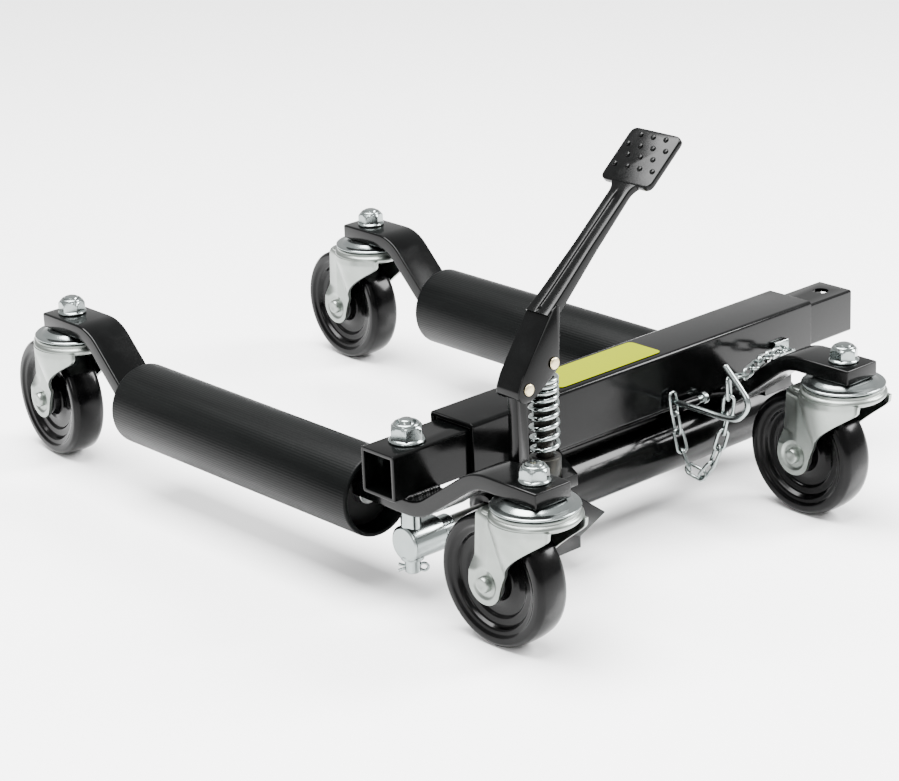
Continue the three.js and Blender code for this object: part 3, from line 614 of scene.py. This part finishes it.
for side, body in (("left", "carriage"), ("right", "root")):
    piece(f"ribbed_roller_{side}", [roller_skin(f"roller_{side}")], satin_black, f"roller_set_{side}",
          [f"roller_{side}"], smooth=50.0)
    piece(f"fixed_shaft_{side}", [round_bar(f"roller_shaft_{side}", Z_TO_Y)], plain_steel, body,
          [f"roller_shaft_{side}"])
    for end in ("near", "far"):
        bush = f"roller_bush_{end}_{side}"
        piece(f"nylon_bush_{end}_{side}", [collar_skin(bush, BUSH_BORE, Z_TO_Y)], nylon,
              f"roller_set_{side}", [bush])

# Telescoping beam: a drawn square tube slides in a welded square sleeve, with nylon liners between.
# The left arm is welded and pinned to the tube, the right arm is welded under the sleeve. A yellow
# label lies on top of the sleeve.
TUBE_WALL, SLEEVE_WALL = 3 * MM, 3.5 * MM
PIN_HOLE, LEG_HOLE = 6.4 * MM, 2.9 * MM


def box_section(node, wall, corner):
    """A square tube along X as a ring of outlines: out along the outside and back along the inside,
    with both end rims rounded."""
    low, high = (np.array(c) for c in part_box(node))
    centre, size = (low + high) / 2, high[1] - low[1]
    line = np.array([(low[0], *centre[1:]), centre, (high[0], *centre[1:])])
    route, inset = eased_ends(line, 0.7 * MM)
    inner_corner = max(corner - wall, 0.8 * MM)
    outer = np.stack([block(size - 2 * i, size - 2 * i, corner, 6) for i in inset])
    inner = np.stack([block(size - 2 * wall + i, size - 2 * wall + i, inner_corner, 6) for i in inset])
    rings = [swept(outlines, route, (0.0, 1.0, 0.0)) for outlines in (outer, inner)]
    return shell(np.concatenate([rings[0], rings[1][::-1]]), ring=True)


def drilled(name, skin, holes, finish, body, node):
    """A skin with round holes: each hole is (place, axis, radius, length), cut with a Boolean."""
    points, faces = skin
    mesh = bpy.data.meshes.new(name)
    mesh.from_pydata(points.tolist(), [], faces)
    thing = bpy.data.objects.new(name, mesh)
    bpy.context.scene.collection.objects.link(thing)
    cutters = []
    for place, axis, radius, length in holes:
        drill_points, drill_faces = moved(
            shell(turned([(radius, -length / 2), (radius, length / 2)], 48) @ axis.T), shift=place)
        drill = bpy.data.meshes.new("drill")
        drill.from_pydata(drill_points.tolist(), [], drill_faces)
        cutter = bpy.data.objects.new("drill", drill)
        bpy.context.scene.collection.objects.link(cutter)
        modifier = thing.modifiers.new("hole", "BOOLEAN")
        modifier.operation, modifier.object, modifier.solver = "DIFFERENCE", cutter, "EXACT"
        cutters.append(cutter)
    bpy.context.view_layer.update()
    cut = bpy.data.meshes.new_from_object(thing.evaluated_get(bpy.context.evaluated_depsgraph_get()))
    for spare in (thing, *cutters):
        bpy.data.objects.remove(spare)
    cut.name = name
    return finished(name, cut, finish, body, [node], 30.0)


pin_place, tube_middle = middle_of("arm_pin"), middle_of("inner_tube")
tube_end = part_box("inner_tube")[1][0]
lock_place = np.array([tube_end - 18 * MM, tube_middle[1], tube_middle[2]])
drilled("sliding_square_tube", box_section("inner_tube", TUBE_WALL, 2.2 * MM),
        [((pin_place[0], tube_middle[1], tube_middle[2]), np.eye(3), PIN_HOLE, 60 * MM),
         (lock_place, np.eye(3), PIN_HOLE, 60 * MM)], gloss_black, "carriage", "inner_tube")
lock_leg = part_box("lock_pin")
leg_x, leg_z = (lock_leg[0][0] + lock_leg[1][0]) / 2, lock_leg[0][2] + 2.4 * MM
sleeve_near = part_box("outer_sleeve")[0][1]
drilled("outer_square_sleeve", box_section("outer_sleeve", SLEEVE_WALL, 3.4 * MM),
        [((leg_x, sleeve_near, leg_z), Z_TO_Y, LEG_HOLE, 12 * MM)], gloss_black, "root", "outer_sleeve")


def softened(name, node, edge, finish, body, angle=28.0):
    """A pressed or cast piece from its CAD solid: its triangles merged to flat faces, edges bevelled."""
    mesh = frame["nodes"][node].data.copy()
    build = bmesh.new()
    build.from_mesh(mesh)
    bmesh.ops.remove_doubles(build, verts=build.verts, dist=1e-6)
    bmesh.ops.dissolve_limit(build, angle_limit=math.radians(1.0), verts=build.verts, edges=build.edges)
    build.to_mesh(mesh)
    build.free()
    thing = finished(name, mesh, finish, body, [node], 180.0)
    bevel = thing.modifiers.new("edges", "BEVEL")
    bevel.width, bevel.segments, bevel.limit_method = edge, 2, "ANGLE"
    bevel.angle_limit, bevel.harden_normals, bevel.use_clamp_overlap = math.radians(angle), True, True
    return thing


for end in ("left", "right"):
    softened(f"nylon_liner_{end}", f"slide_liner_{end}", 0.3 * MM, nylon, "root")


def circle_outline(radius, sides):
    """Outline of a round wire."""
    angle = np.linspace(0, 2 * math.pi, sides, endpoint=False)
    return np.column_stack([np.cos(angle), np.sin(angle)]) * radius


def weld_bead(line, radius):
    """A fillet weld: a round bead along a line whose radius ripples with each puddle, 2.6 mm apart."""
    start, end = (np.asarray(p, float) for p in line)
    length = np.linalg.norm(end - start)
    run = np.linspace(0.0, 1.0, max(int(length / (0.5 * MM)), 8))
    taper = np.clip(np.minimum(run, 1 - run) * length / (3 * MM), 0.25, 1.0) ** 0.5
    puddles = np.abs(np.sin(run * length / (2.6 * MM) * math.pi))
    drift = np.sin(run * length / (7.1 * MM) * 6)
    ripple = 1 + 0.10 * puddles + 0.05 * drift
    outlines = circle_outline(radius, 14)[None] * (taper * ripple)[:, None, None]
    return shell(swept(outlines, start + run[:, None] * (end - start), (0.0, 0.0, 1.0)))


def seams_under(tube_node, arm_node):
    """Welds where an arm crosses under a tube: one along each lower edge of the tube."""
    tube_low, tube_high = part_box(tube_node)
    arm_low, arm_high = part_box(arm_node)
    ends = (arm_low[0] + 1 * MM, arm_high[0] - 1 * MM)
    return [weld_bead([(ends[0], y, tube_low[2]), (ends[1], y, tube_low[2])], 2.3 * MM)
            for y in (tube_low[1] + 0.4 * MM, tube_high[1] - 0.4 * MM)]


piece("tube_to_arm_welds", seams_under("inner_tube", "near_arm_left"), gloss_black, "carriage")
piece("sleeve_to_arm_welds", seams_under("outer_sleeve", "near_arm_right"), gloss_black, "root")


def label_film():
    """Yellow vinyl film: an even matt colour with the faint grain of the film."""
    film = Finish("yellow_label_film", IOR=1.4, Specular_IOR_Level=0.03)
    grain = film.noise(1400.0, 2.0)
    film.set(Base_Color=film.blend(grain, (0.150, 0.172, 0.0), (0.142, 0.163, 0.0)))
    return film.set(Roughness=0.6 + grain * 0.06)


def label_skin(node):
    """A thin plate with rounded corners that fills the label's box."""
    low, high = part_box(node)
    centre = middle_of(node)
    outline = block(high[0] - low[0], high[1] - low[1], 5 * MM, 6) + centre[:2]
    return plate(outline, low[2], high[2] - 0.2 * MM, 0.15 * MM)


piece("yellow_label", [label_skin("label_plate")], label_film(), "root", ["label_plate"])

# Arm pin: one long zinc bolt drops through the tube, the left arm and the rod end. A flanged nut
# closes it on top and a split cotter below, set at 45 degrees to the tube.
COTTER_TURN = math.pi / 4
PIN_RADIUS = 6.0 * MM


def cotter_skin(node):
    """Split pin: a round eye, two half wires side by side through the bolt, and legs spread apart."""
    low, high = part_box(node)
    centre = middle_of(node)
    wire = 1.1 * MM
    angle = np.linspace(-0.85 * math.pi, 0.85 * math.pi, 22)
    eye = np.column_stack([0 * angle, -8.0 - 3.2 * np.cos(angle), 2.9 * np.sin(angle)])
    spread = np.array([(0, 7.0, 1.4), (0, 8.6, 1.9), (0, 10.6, 2.7)])
    legs = [np.array([(0, -4.6, 1.2), (0, 0, 1.1), (0, 5.6, 1.1)]) * (1, 1, s) for s in (1, -1)]
    route = np.concatenate([(spread * (1, 1, -1))[::-1], legs[1][::-1], eye, legs[0], spread]) * MM
    skin = shell(swept(circle_outline(wire, 12), route, (1.0, 0.0, 0.0)))
    return moved(skin, about_z(COTTER_TURN), centre)


def pin_skin(node):
    """Bolt: an eased lower end, a plain shank, and a threaded top with ridges 1.75 mm apart."""
    low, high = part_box(node)
    ridges = np.arange(18)
    thread = np.column_stack([5.95 * MM - 0.6 * MM * (ridges % 2), high[2] - 17 * MM + 0.875 * MM * ridges])
    shank = [(4.6 * MM, low[2]), (PIN_RADIUS, low[2] + 1.2 * MM), (PIN_RADIUS, high[2] - 18 * MM)]
    tip = [(5.0 * MM, high[2] - 0.6 * MM), (4.2 * MM, high[2])]
    profile = np.concatenate([shank, thread, tip])
    return moved(shell(turned(profile, 48)), shift=(pin_place[0], pin_place[1], 0.0))


piece("long_arm_bolt", [pin_skin("arm_pin")], shiny_zinc, "carriage", ["arm_pin"])
large_nut = nut_skins(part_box("arm_pin_nut")[0][2], 1.18)
piece("arm_bolt_nut", [moved(s, about_z(0.3), (pin_place[0], pin_place[1], 0.0)) for s in large_nut],
      shiny_zinc, "carriage", ["arm_pin_nut"], smooth=24.0)
piece("split_cotter", [cotter_skin("cotter_pin")], shiny_zinc, "carriage", ["cotter_pin"])

# Ram: a black hydraulic cylinder under the sleeve with a painted gland, a ground rod and a zinc rod
# end. A saddle block carries it at the far end, and a thin strip lines the sleeve above it.
CYLINDER_BORE = 18.0


def ram_skins():
    """Cylinder barrel with a rolled weld ring near each end and a domed end cap."""
    low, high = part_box("ram_cylinder")
    radius = (high[2] - low[2]) / 2 / MM
    length = (high[0] - low[0]) / MM
    side = [(CYLINDER_BORE, 0), (radius, 0), (radius, 3), (radius, length - 16)]
    ring = [(radius - 0.2, length - 14.6), (radius, length - 13), (radius, length - 6)]
    cap = [(radius - 2.5, length - 1), (radius - 9, length), (2, length), (2, length - 8)]
    profile = [*side, *ring, *cap, (CYLINDER_BORE, length - 8)]
    smooth = eased(np.array(profile) * MM, 0.9 * MM, 3, closed=True)
    barrel = shell(turned(smooth, 96) @ Z_TO_X.T, ring=True)
    return moved(barrel, shift=(low[0], *middle_of("ram_cylinder")[1:]))


def rod_end_skins():
    """Turned zinc rod end: a broad head with a chamfered face, a neck, and a boss round the bolt."""
    low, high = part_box("rod_end")
    axis_place = (low[0], middle_of("rod_end")[1], middle_of("ram_rod")[2])
    broad = [(0.5, 0.2), (12.1, 0.2), (13.9, 1.6), (14.0, 31.0), (12.9, 32.2)]
    neck = [(11.1, 32.6), (11.0, 43.4), (10.0, 44.5), (1.0, 44.5)]
    head = eased(np.array([*broad, *neck]) * MM, 0.7 * MM, 4)
    rise = (high[2] - axis_place[2]) / MM
    boss = eased(np.array([(6.4, 2), (7.6, 2), (7.6, rise), (6.4, rise)]) * MM, 0.6 * MM, 3, True)
    lower = eased(np.array([(6.3, -13.4), (8.6, -13.4), (8.6, -10), (6.3, -10)]) * MM, 0.5 * MM, 3, True)
    upright = (pin_place[0], pin_place[1], axis_place[2])
    return [moved(shell(turned(head, 96) @ Z_TO_X.T), shift=axis_place),
            moved(shell(turned(boss, 64), ring=True), shift=upright),
            moved(shell(turned(lower, 64), ring=True), shift=upright)]


piece("ram_barrel", [ram_skins()], gloss_black, "root", ["ram_cylinder"])
piece("ram_rod_end", rod_end_skins(), shiny_zinc, "carriage", ["rod_end"])
softened("ram_gland_ring", "ram_gland", 0.5 * MM, gloss_black, "root")
softened("ram_piston_rod", "ram_rod", 0.5 * MM, plain_steel, "carriage")
softened("ram_saddle_block", "ram_saddle", 1.2 * MM, gloss_black, "root")
softened("strip_under_sleeve", "sleeve_strip", 0.6 * MM, gloss_black, "root")
lug_low, lug_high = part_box("sleeve_lug_bolt")
lug_axis = (lug_low[0], (lug_low[1] + lug_high[1]) / 2, (lug_low[2] + lug_high[2]) / 2)
lug_sleeve = eased(np.array([(1, 0), (4.2, 0), (4.2, 18), (1, 18)]) * MM, 0.6 * MM, 3)
lug_side = np.array([(1, 18), (3, 18), (3, 23.6), (4.8, 23.8), (4.8, 27.6), (3.8, 28.4), (1, 28.4)])
lug_head = eased(lug_side * MM, 0.5 * MM, 3)
piece("lug_bolt", [moved(shell(turned(lug_head, 40) @ Z_TO_X.T), shift=lug_axis)], shiny_zinc, "root",
      ["sleeve_lug_bolt"])
piece("lug_spacer", [moved(shell(turned(lug_sleeve, 40) @ Z_TO_X.T), shift=lug_axis)], gloss_black, "root")

# Foot pump: a cast block clamped round the ram, a steel barrel, and a plunger under a return
# spring. A small foot lever on the block opens the release valve.
SPRING_WIRE, SPRING_RADIUS, SPRING_TURNS = 1.75 * MM, 9.6 * MM, 9.0
SPRING_EXTRA = 5.5 * MM  # how far the drawn spring stands above its CAD node


def spring_skin():
    """A wire wound on a helix: the rise follows a blend of a straight ramp and a quarter sine, so the
    coils close up towards the top, and the end turns are ground flat by holding their height."""
    low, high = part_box("return_spring")
    centre = middle_of("pump_barrel")
    run = np.linspace(0.0, 1.0, 300)
    rise = 0.42 * run + 0.58 * np.sin(run * math.pi / 2)
    angle = run * SPRING_TURNS * 2 * math.pi
    z = low[2] + SPRING_WIRE + (high[2] + SPRING_EXTRA - low[2] - 2 * SPRING_WIRE) * rise
    x, y = centre[0] + SPRING_RADIUS * np.cos(angle), centre[1] + SPRING_RADIUS * np.sin(angle)
    route = np.column_stack([x, y, z])
    return shell(swept(circle_outline(SPRING_WIRE, 14), route, (0.0, 0.0, 1.0)))


spring_zinc = zinc_plate("spring_zinc", (0.36, 0.40, 0.395), 0.12, 0.08)
spring = piece("pump_return_spring", [spring_skin()], spring_zinc, "root", ["return_spring"],
               smooth=60.0)
spring_low, spring_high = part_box("return_spring")
stroke = next(j["range_m"][1] for j in frame["joints"] if j["name"] == "plunger_stroke")
spring_length = spring_high[2] + SPRING_EXTRA - spring_low[2]
(spring_length - stroke) / spring_length
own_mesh(spring)
softened("pump_block_casting", "pump_block", 1.3 * MM, gloss_black, "root")


def phosphated(name):
    """Phosphated steel under oil: nearly black, with drier, browner patches."""
    steel = Finish(name, Metallic=0.7)
    patch = steel.noise(120.0, 5.0, 0.6)
    steel.set(Base_Color=steel.blend(patch.above(0.4, 0.7), (0.010, 0.011, 0.010), (0.028, 0.026, 0.021)))
    return steel.set(Roughness=0.32 + patch.above(0.3, 0.8) * 0.2)


dark_steel = phosphated("oiled_phosphate_steel")
softened("pump_barrel_steel", "pump_barrel", 0.6 * MM, dark_steel, "root")
softened("pump_plunger_rod", "pump_plunger", 0.5 * MM, dark_steel, "plunger")
softened("release_foot_lever", "release_lever", 0.8 * MM, gloss_black, "release_valve")

# Pedal: a link hinged on the pump block, a pressed channel, a tapered lever with a groove, and a
# studded foot pad. Yellow zinc pins join link, channel and plunger.
PEDAL_PLATE = 3 * MM


def upright_plate(corners, y_low, y_high, corner_radius, edge):
    """A plate that stands in the X-Z plane between two Y values, with rounded corners and rim."""
    outline = eased(corners, corner_radius, 5, closed=True)
    points, faces = plate(outline, 0.0, y_high - y_low, edge)
    standing = np.column_stack([points[:, 0], y_low + points[:, 2], points[:, 1]])
    return standing, [face[::-1] for face in faces]


pivot = middle_of("pedal_pivot_pin")
CHANNEL_HALF, STUD_PITCH = 11.5 * MM, 12.2 * MM


def from_pivot(points):
    """Places given in millimetres from the pedal pivot, in X and Z."""
    return np.asarray(points, float) * MM + np.array([pivot[0], pivot[2]])


ELBOW, PAD_FOOT, PAD_TIP = from_pivot([(25, 51.5), (108.5, 122.0), (144.0, 152.0)])
SLOPE = (PAD_TIP - PAD_FOOT) / np.linalg.norm(PAD_TIP - PAD_FOOT)
RISE = np.array([-SLOPE[1], SLOPE[0]])


def lever_skin():
    """The lever narrows from the channel to its middle, tapers in depth, and spreads in a fillet at
    the pad. A groove 2.6 mm wide and 1.2 mm deep runs down its top face."""
    run = np.concatenate([[0.0, 0.01], np.linspace(0.03, 0.86, 18), np.linspace(0.88, 1.0, 10)])
    start, end = ELBOW - SLOPE * 5 * MM, PAD_FOOT + SLOPE * 5 * MM
    line = start + run[:, None] * (end - start)
    depth = np.interp(run, [0, 1], [10.0, 5.2]) * MM
    flare = np.clip((run - 0.88) / 0.12, 0, 1) ** 2.4
    width = np.interp(run, [0, 0.1, 0.5, 0.88], [22.4, 21.0, 17.5, 17.5]) * MM + 17 * MM * flare
    rim, floor_half = 1.9 * MM, 1.3 * MM
    radii = np.array([1.3, 0.3, 0.3, 0.3, 0.3, 1.3, 1.3, 1.3]) * MM
    rows = []
    for d, w, r in zip(depth, width, run):
        groove = 1.2 * MM * min(1.0, r / 0.03, max(0.0, (0.9 - r) / 0.04))
        half = w / 2
        top = [(half, 0), (rim, 0), (floor_half, -groove), (-floor_half, -groove), (-rim, 0), (-half, 0)]
        rows.append(eased([*top, (-half, -d), (half, -d)], radii, 3, True))
    rows = np.array(rows)
    lift = (0.2 + 0.7 * np.clip(1 - run / 0.14, 0.0, 1.0)) * MM
    place = line[:, None] + RISE * (rows[..., 1:] + lift[:, None, None])
    return shell(np.stack([place[..., 0], pivot[1] + rows[..., 0], place[..., 1]], -1))


def pad_skins():
    """Foot pad: a round cornered plate with fourteen low studs in rows of four, three, four, three."""
    length, width, thick = np.linalg.norm(PAD_TIP - PAD_FOOT), 48 * MM, 5 * MM
    centre = (PAD_FOOT + PAD_TIP) / 2 + np.array([0.0, 0.5 * MM])
    turn = np.column_stack([(SLOPE[0], 0, SLOPE[1]), (0, 1, 0), (RISE[0], 0, RISE[1])])
    place = (centre[0], pivot[1], centre[1])
    skins = [moved(plate(block(length, width, 6 * MM, 6), -thick, 0.0, 1.0 * MM), turn, place)]
    stud = eased(np.array([(0.3, 1.3), (1.3, 1.3), (2.0, 0.9), (2.3, -0.6), (0.3, -0.6)]) * MM, 0.4 * MM, 3)
    for row, along in enumerate((-0.20, 0.0, 0.19, 0.385)):
        count = 4 if row % 2 == 0 else 3
        for k in range(count):
            spot = turn @ np.array([along * length, (k - (count - 1) / 2) * STUD_PITCH, 0.0]) + place
            skins.append(moved(shell(turned(stud, 28)), turn, spot))
    return skins


def channel_skins():
    """Pressed channel: two cheeks and the front web between them, from the pivot up to the elbow."""
    cheek = from_pivot([(-9, 0), (-9.2, -6), (-4, -10), (4, -9), (10, -5.5), (25, 4.5), (30.5, 9),
                        (33, 55.5), (25, 51.5), (-5.2, 9)])
    web = from_pivot([(-9.4, 0), (-9.6, -5), (-8.2, -6.6), (-7.9, -1.0), (-4.4, 6.2), (28.4, 49.6),
                      (25.5, 52.5), (-5.4, 9)])
    y = pivot[1]
    radii = np.array([4, 4, 5, 5, 3, 5, 3, 6, 2, 6]) * MM
    return [upright_plate(cheek, y - CHANNEL_HALF, y - CHANNEL_HALF + PEDAL_PLATE, radii, 0.7 * MM),
            upright_plate(cheek, y + CHANNEL_HALF - PEDAL_PLATE, y + CHANNEL_HALF, radii, 0.7 * MM),
            upright_plate(web, y - CHANNEL_HALF + 0.4 * MM, y + CHANNEL_HALF - 0.4 * MM, 1.2 * MM, 0.5 * MM)]


def headed_pin(node):
    """Rivet pin along Y with a low domed head at each end."""
    low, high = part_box(node)
    half = (high[1] - low[1]) / 2 / MM
    shank, rim = [(3.1, half - 2.6), (3.1, half - 2.0)], [(4.4, half - 1.9), (4.4, half - 1.0)]
    side = np.array([*shank, *rim, (3.4, half - 0.25), (1.6, half), (0.3, half)])
    profile = eased(np.concatenate([side[::-1] * (1, -1), side]) * MM, 0.4 * MM, 3)
    return moved(shell(turned(profile, 40) @ Z_TO_Y.T), shift=middle_of(node))


yellow_zinc = zinc_plate("yellow_zinc_pins", (0.62, 0.53, 0.33), 0.30, 0.16)
piece("pedal_lever_and_pad", [*channel_skins(), lever_skin(), *pad_skins()], gloss_black, "pedal",
      ["foot_pedal"])
softened("pedal_hinge_link", "pedal_link", 0.8 * MM, gloss_black, "link")
for name, node, body in (("pivot_rivet", "pedal_pivot_pin", "pedal"),
                         ("plunger_rivet", "plunger_pin", "pedal"),
                         ("link_foot_rivet", "link_foot_pin", "root")):
    piece(name, [headed_pin(node)], yellow_zinc, body, [node])

# Lock pin and keeper chain: a bent zinc wire whose straight leg parks in the sleeve wall, and a
# welded link chain from an eye on the sleeve, past the pin's free end, to a last link on its leg.
CHAIN_WIRE, LINK_LENGTH, LINK_WIDTH = 1.35 * MM, 21.0 * MM, 10.5 * MM
LINK_TILT = (0.31, 0.12, 0.94)
leg_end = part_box("lock_pin")[1][1]


def from_leg(points):
    """Places in millimetres from the inner end of the pin's leg: outwards from the sleeve, and up."""
    points = np.asarray(points, float) * MM
    return np.column_stack([np.full(len(points), leg_x), leg_end - points[:, 0], leg_z + points[:, 1]])


def curve_through(points, steps=14):
    """A smooth run through points: each span is a cubic with end slopes from its neighbours."""
    points = np.asarray(points, float)
    slope = np.gradient(points, axis=0)
    t = np.linspace(0, 1, steps, endpoint=False)[:, None]
    leave, arrive = t**3 - 2 * t**2 + t, t**3 - t**2
    rise = 3 * t**2 - 2 * t**3
    spans = [(1 - rise) * a + rise * b + leave * out + arrive * into
             for a, b, out, into in zip(points[:-1], points[1:], slope[:-1], slope[1:])]
    return np.concatenate([*spans, points[-1:]])


pin_bend = [(0, 0), (20, 0), (40, 0), (59, 0), (74, 2.5), (83, 11), (84, 19), (77.5, 27), (61.5, 42)]
pin_route = curve_through(from_leg(pin_bend))
pin_ends, pin_inset = eased_ends(pin_route, 0.8 * MM)
pin_rounds = np.stack([circle_outline(2.4 * MM - i, 24) for i in pin_inset])
piece("bent_lock_pin", [shell(swept(pin_rounds, pin_ends, (1.0, 0.0, 0.0)))], shiny_zinc, "lock_pin",
      ["lock_pin"], smooth=60.0)


def link_skin(place, along, side):
    """One welded link: a round wire along a long oval, in the plane of its length and its side."""
    along, side = along / np.linalg.norm(along), np.asarray(side, float)
    side = side - along * (side @ along)
    side /= np.linalg.norm(side)
    angle = np.linspace(0, 2 * math.pi, 40, endpoint=False)
    radius = LINK_WIDTH / 2 - CHAIN_WIRE
    straight = LINK_LENGTH / 2 - CHAIN_WIRE - radius
    u = radius * np.cos(angle) + straight * np.sign(np.cos(angle)) * (np.abs(np.cos(angle)) > 1e-9)
    v = radius * np.sin(angle)
    route = place + u[:, None] * along + v[:, None] * side
    tangent = np.roll(route, -1, axis=0) - np.roll(route, 1, axis=0)
    tangent /= np.linalg.norm(tangent, axis=1, keepdims=True)
    up = np.cross(along, side)
    out = np.cross(tangent, up)
    ring = circle_outline(CHAIN_WIRE, 12)
    return shell(route[:, None] + ring[None, :, :1] * out[:, None] + ring[None, :, 1:] * up, ring=True)


def chain_skins(route, first_side):
    """Links at an even pitch along a route, each turned a quarter about it from the last."""
    fine = curve_through(route, 30)
    reach = np.concatenate([[0], np.cumsum(np.linalg.norm(np.diff(fine, axis=0), axis=1))])
    pitch = LINK_LENGTH - 4 * CHAIN_WIRE
    count = max(int(round(reach[-1] / pitch)), 1)
    spots = np.linspace(0, reach[-1], count + 1)
    joints = np.column_stack([np.interp(spots, reach, fine[:, k]) for k in range(3)])
    skins = []
    for k, (start, end) in enumerate(zip(joints[:-1], joints[1:])):
        along = end - start
        level = np.cross(along, LINK_TILT)
        other = np.cross(along, level)
        skins.append(link_skin((start + end) / 2, along, level if (k + first_side) % 2 == 0 else other))
    return skins


def beside_leg(points):
    """Places in millimetres from the pin's leg end: along the tube, outwards from the sleeve, up."""
    points = np.asarray(points, float) * MM
    return np.column_stack([leg_x + points[:, 0], leg_end - points[:, 1], leg_z + points[:, 2]])


high_run = beside_leg([(127, 12, 8), (102, 21, 15), (73, 38, 24), (46, 54, 30.5), (20, 64, 30),
                       (4, 66, 33)])
low_loop = beside_leg([(3, 62.5, 30), (5, 61, 12), (5.5, 56, -12), (4, 45, -42), (1.5, 31, -57),
                       (1, 18.5, -44), (0, 11, -18), (-1, 8, 6)])
upper_chain = piece("keeper_chain_upper", chain_skins(high_run, 0), shiny_zinc, "root", ["pin_chain"],
                    smooth=60.0)
upper_chain.parent = None  # this piece hangs between two bodies and rides neither
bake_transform(upper_chain)
piece("keeper_chain_lower", chain_skins(low_loop, 1), shiny_zinc, "lock_pin",
      smooth=60.0)
softened("chain_eye", "chain_anchor", 0.6 * MM, shiny_zinc, "root")

bpy.context.view_layer.update()
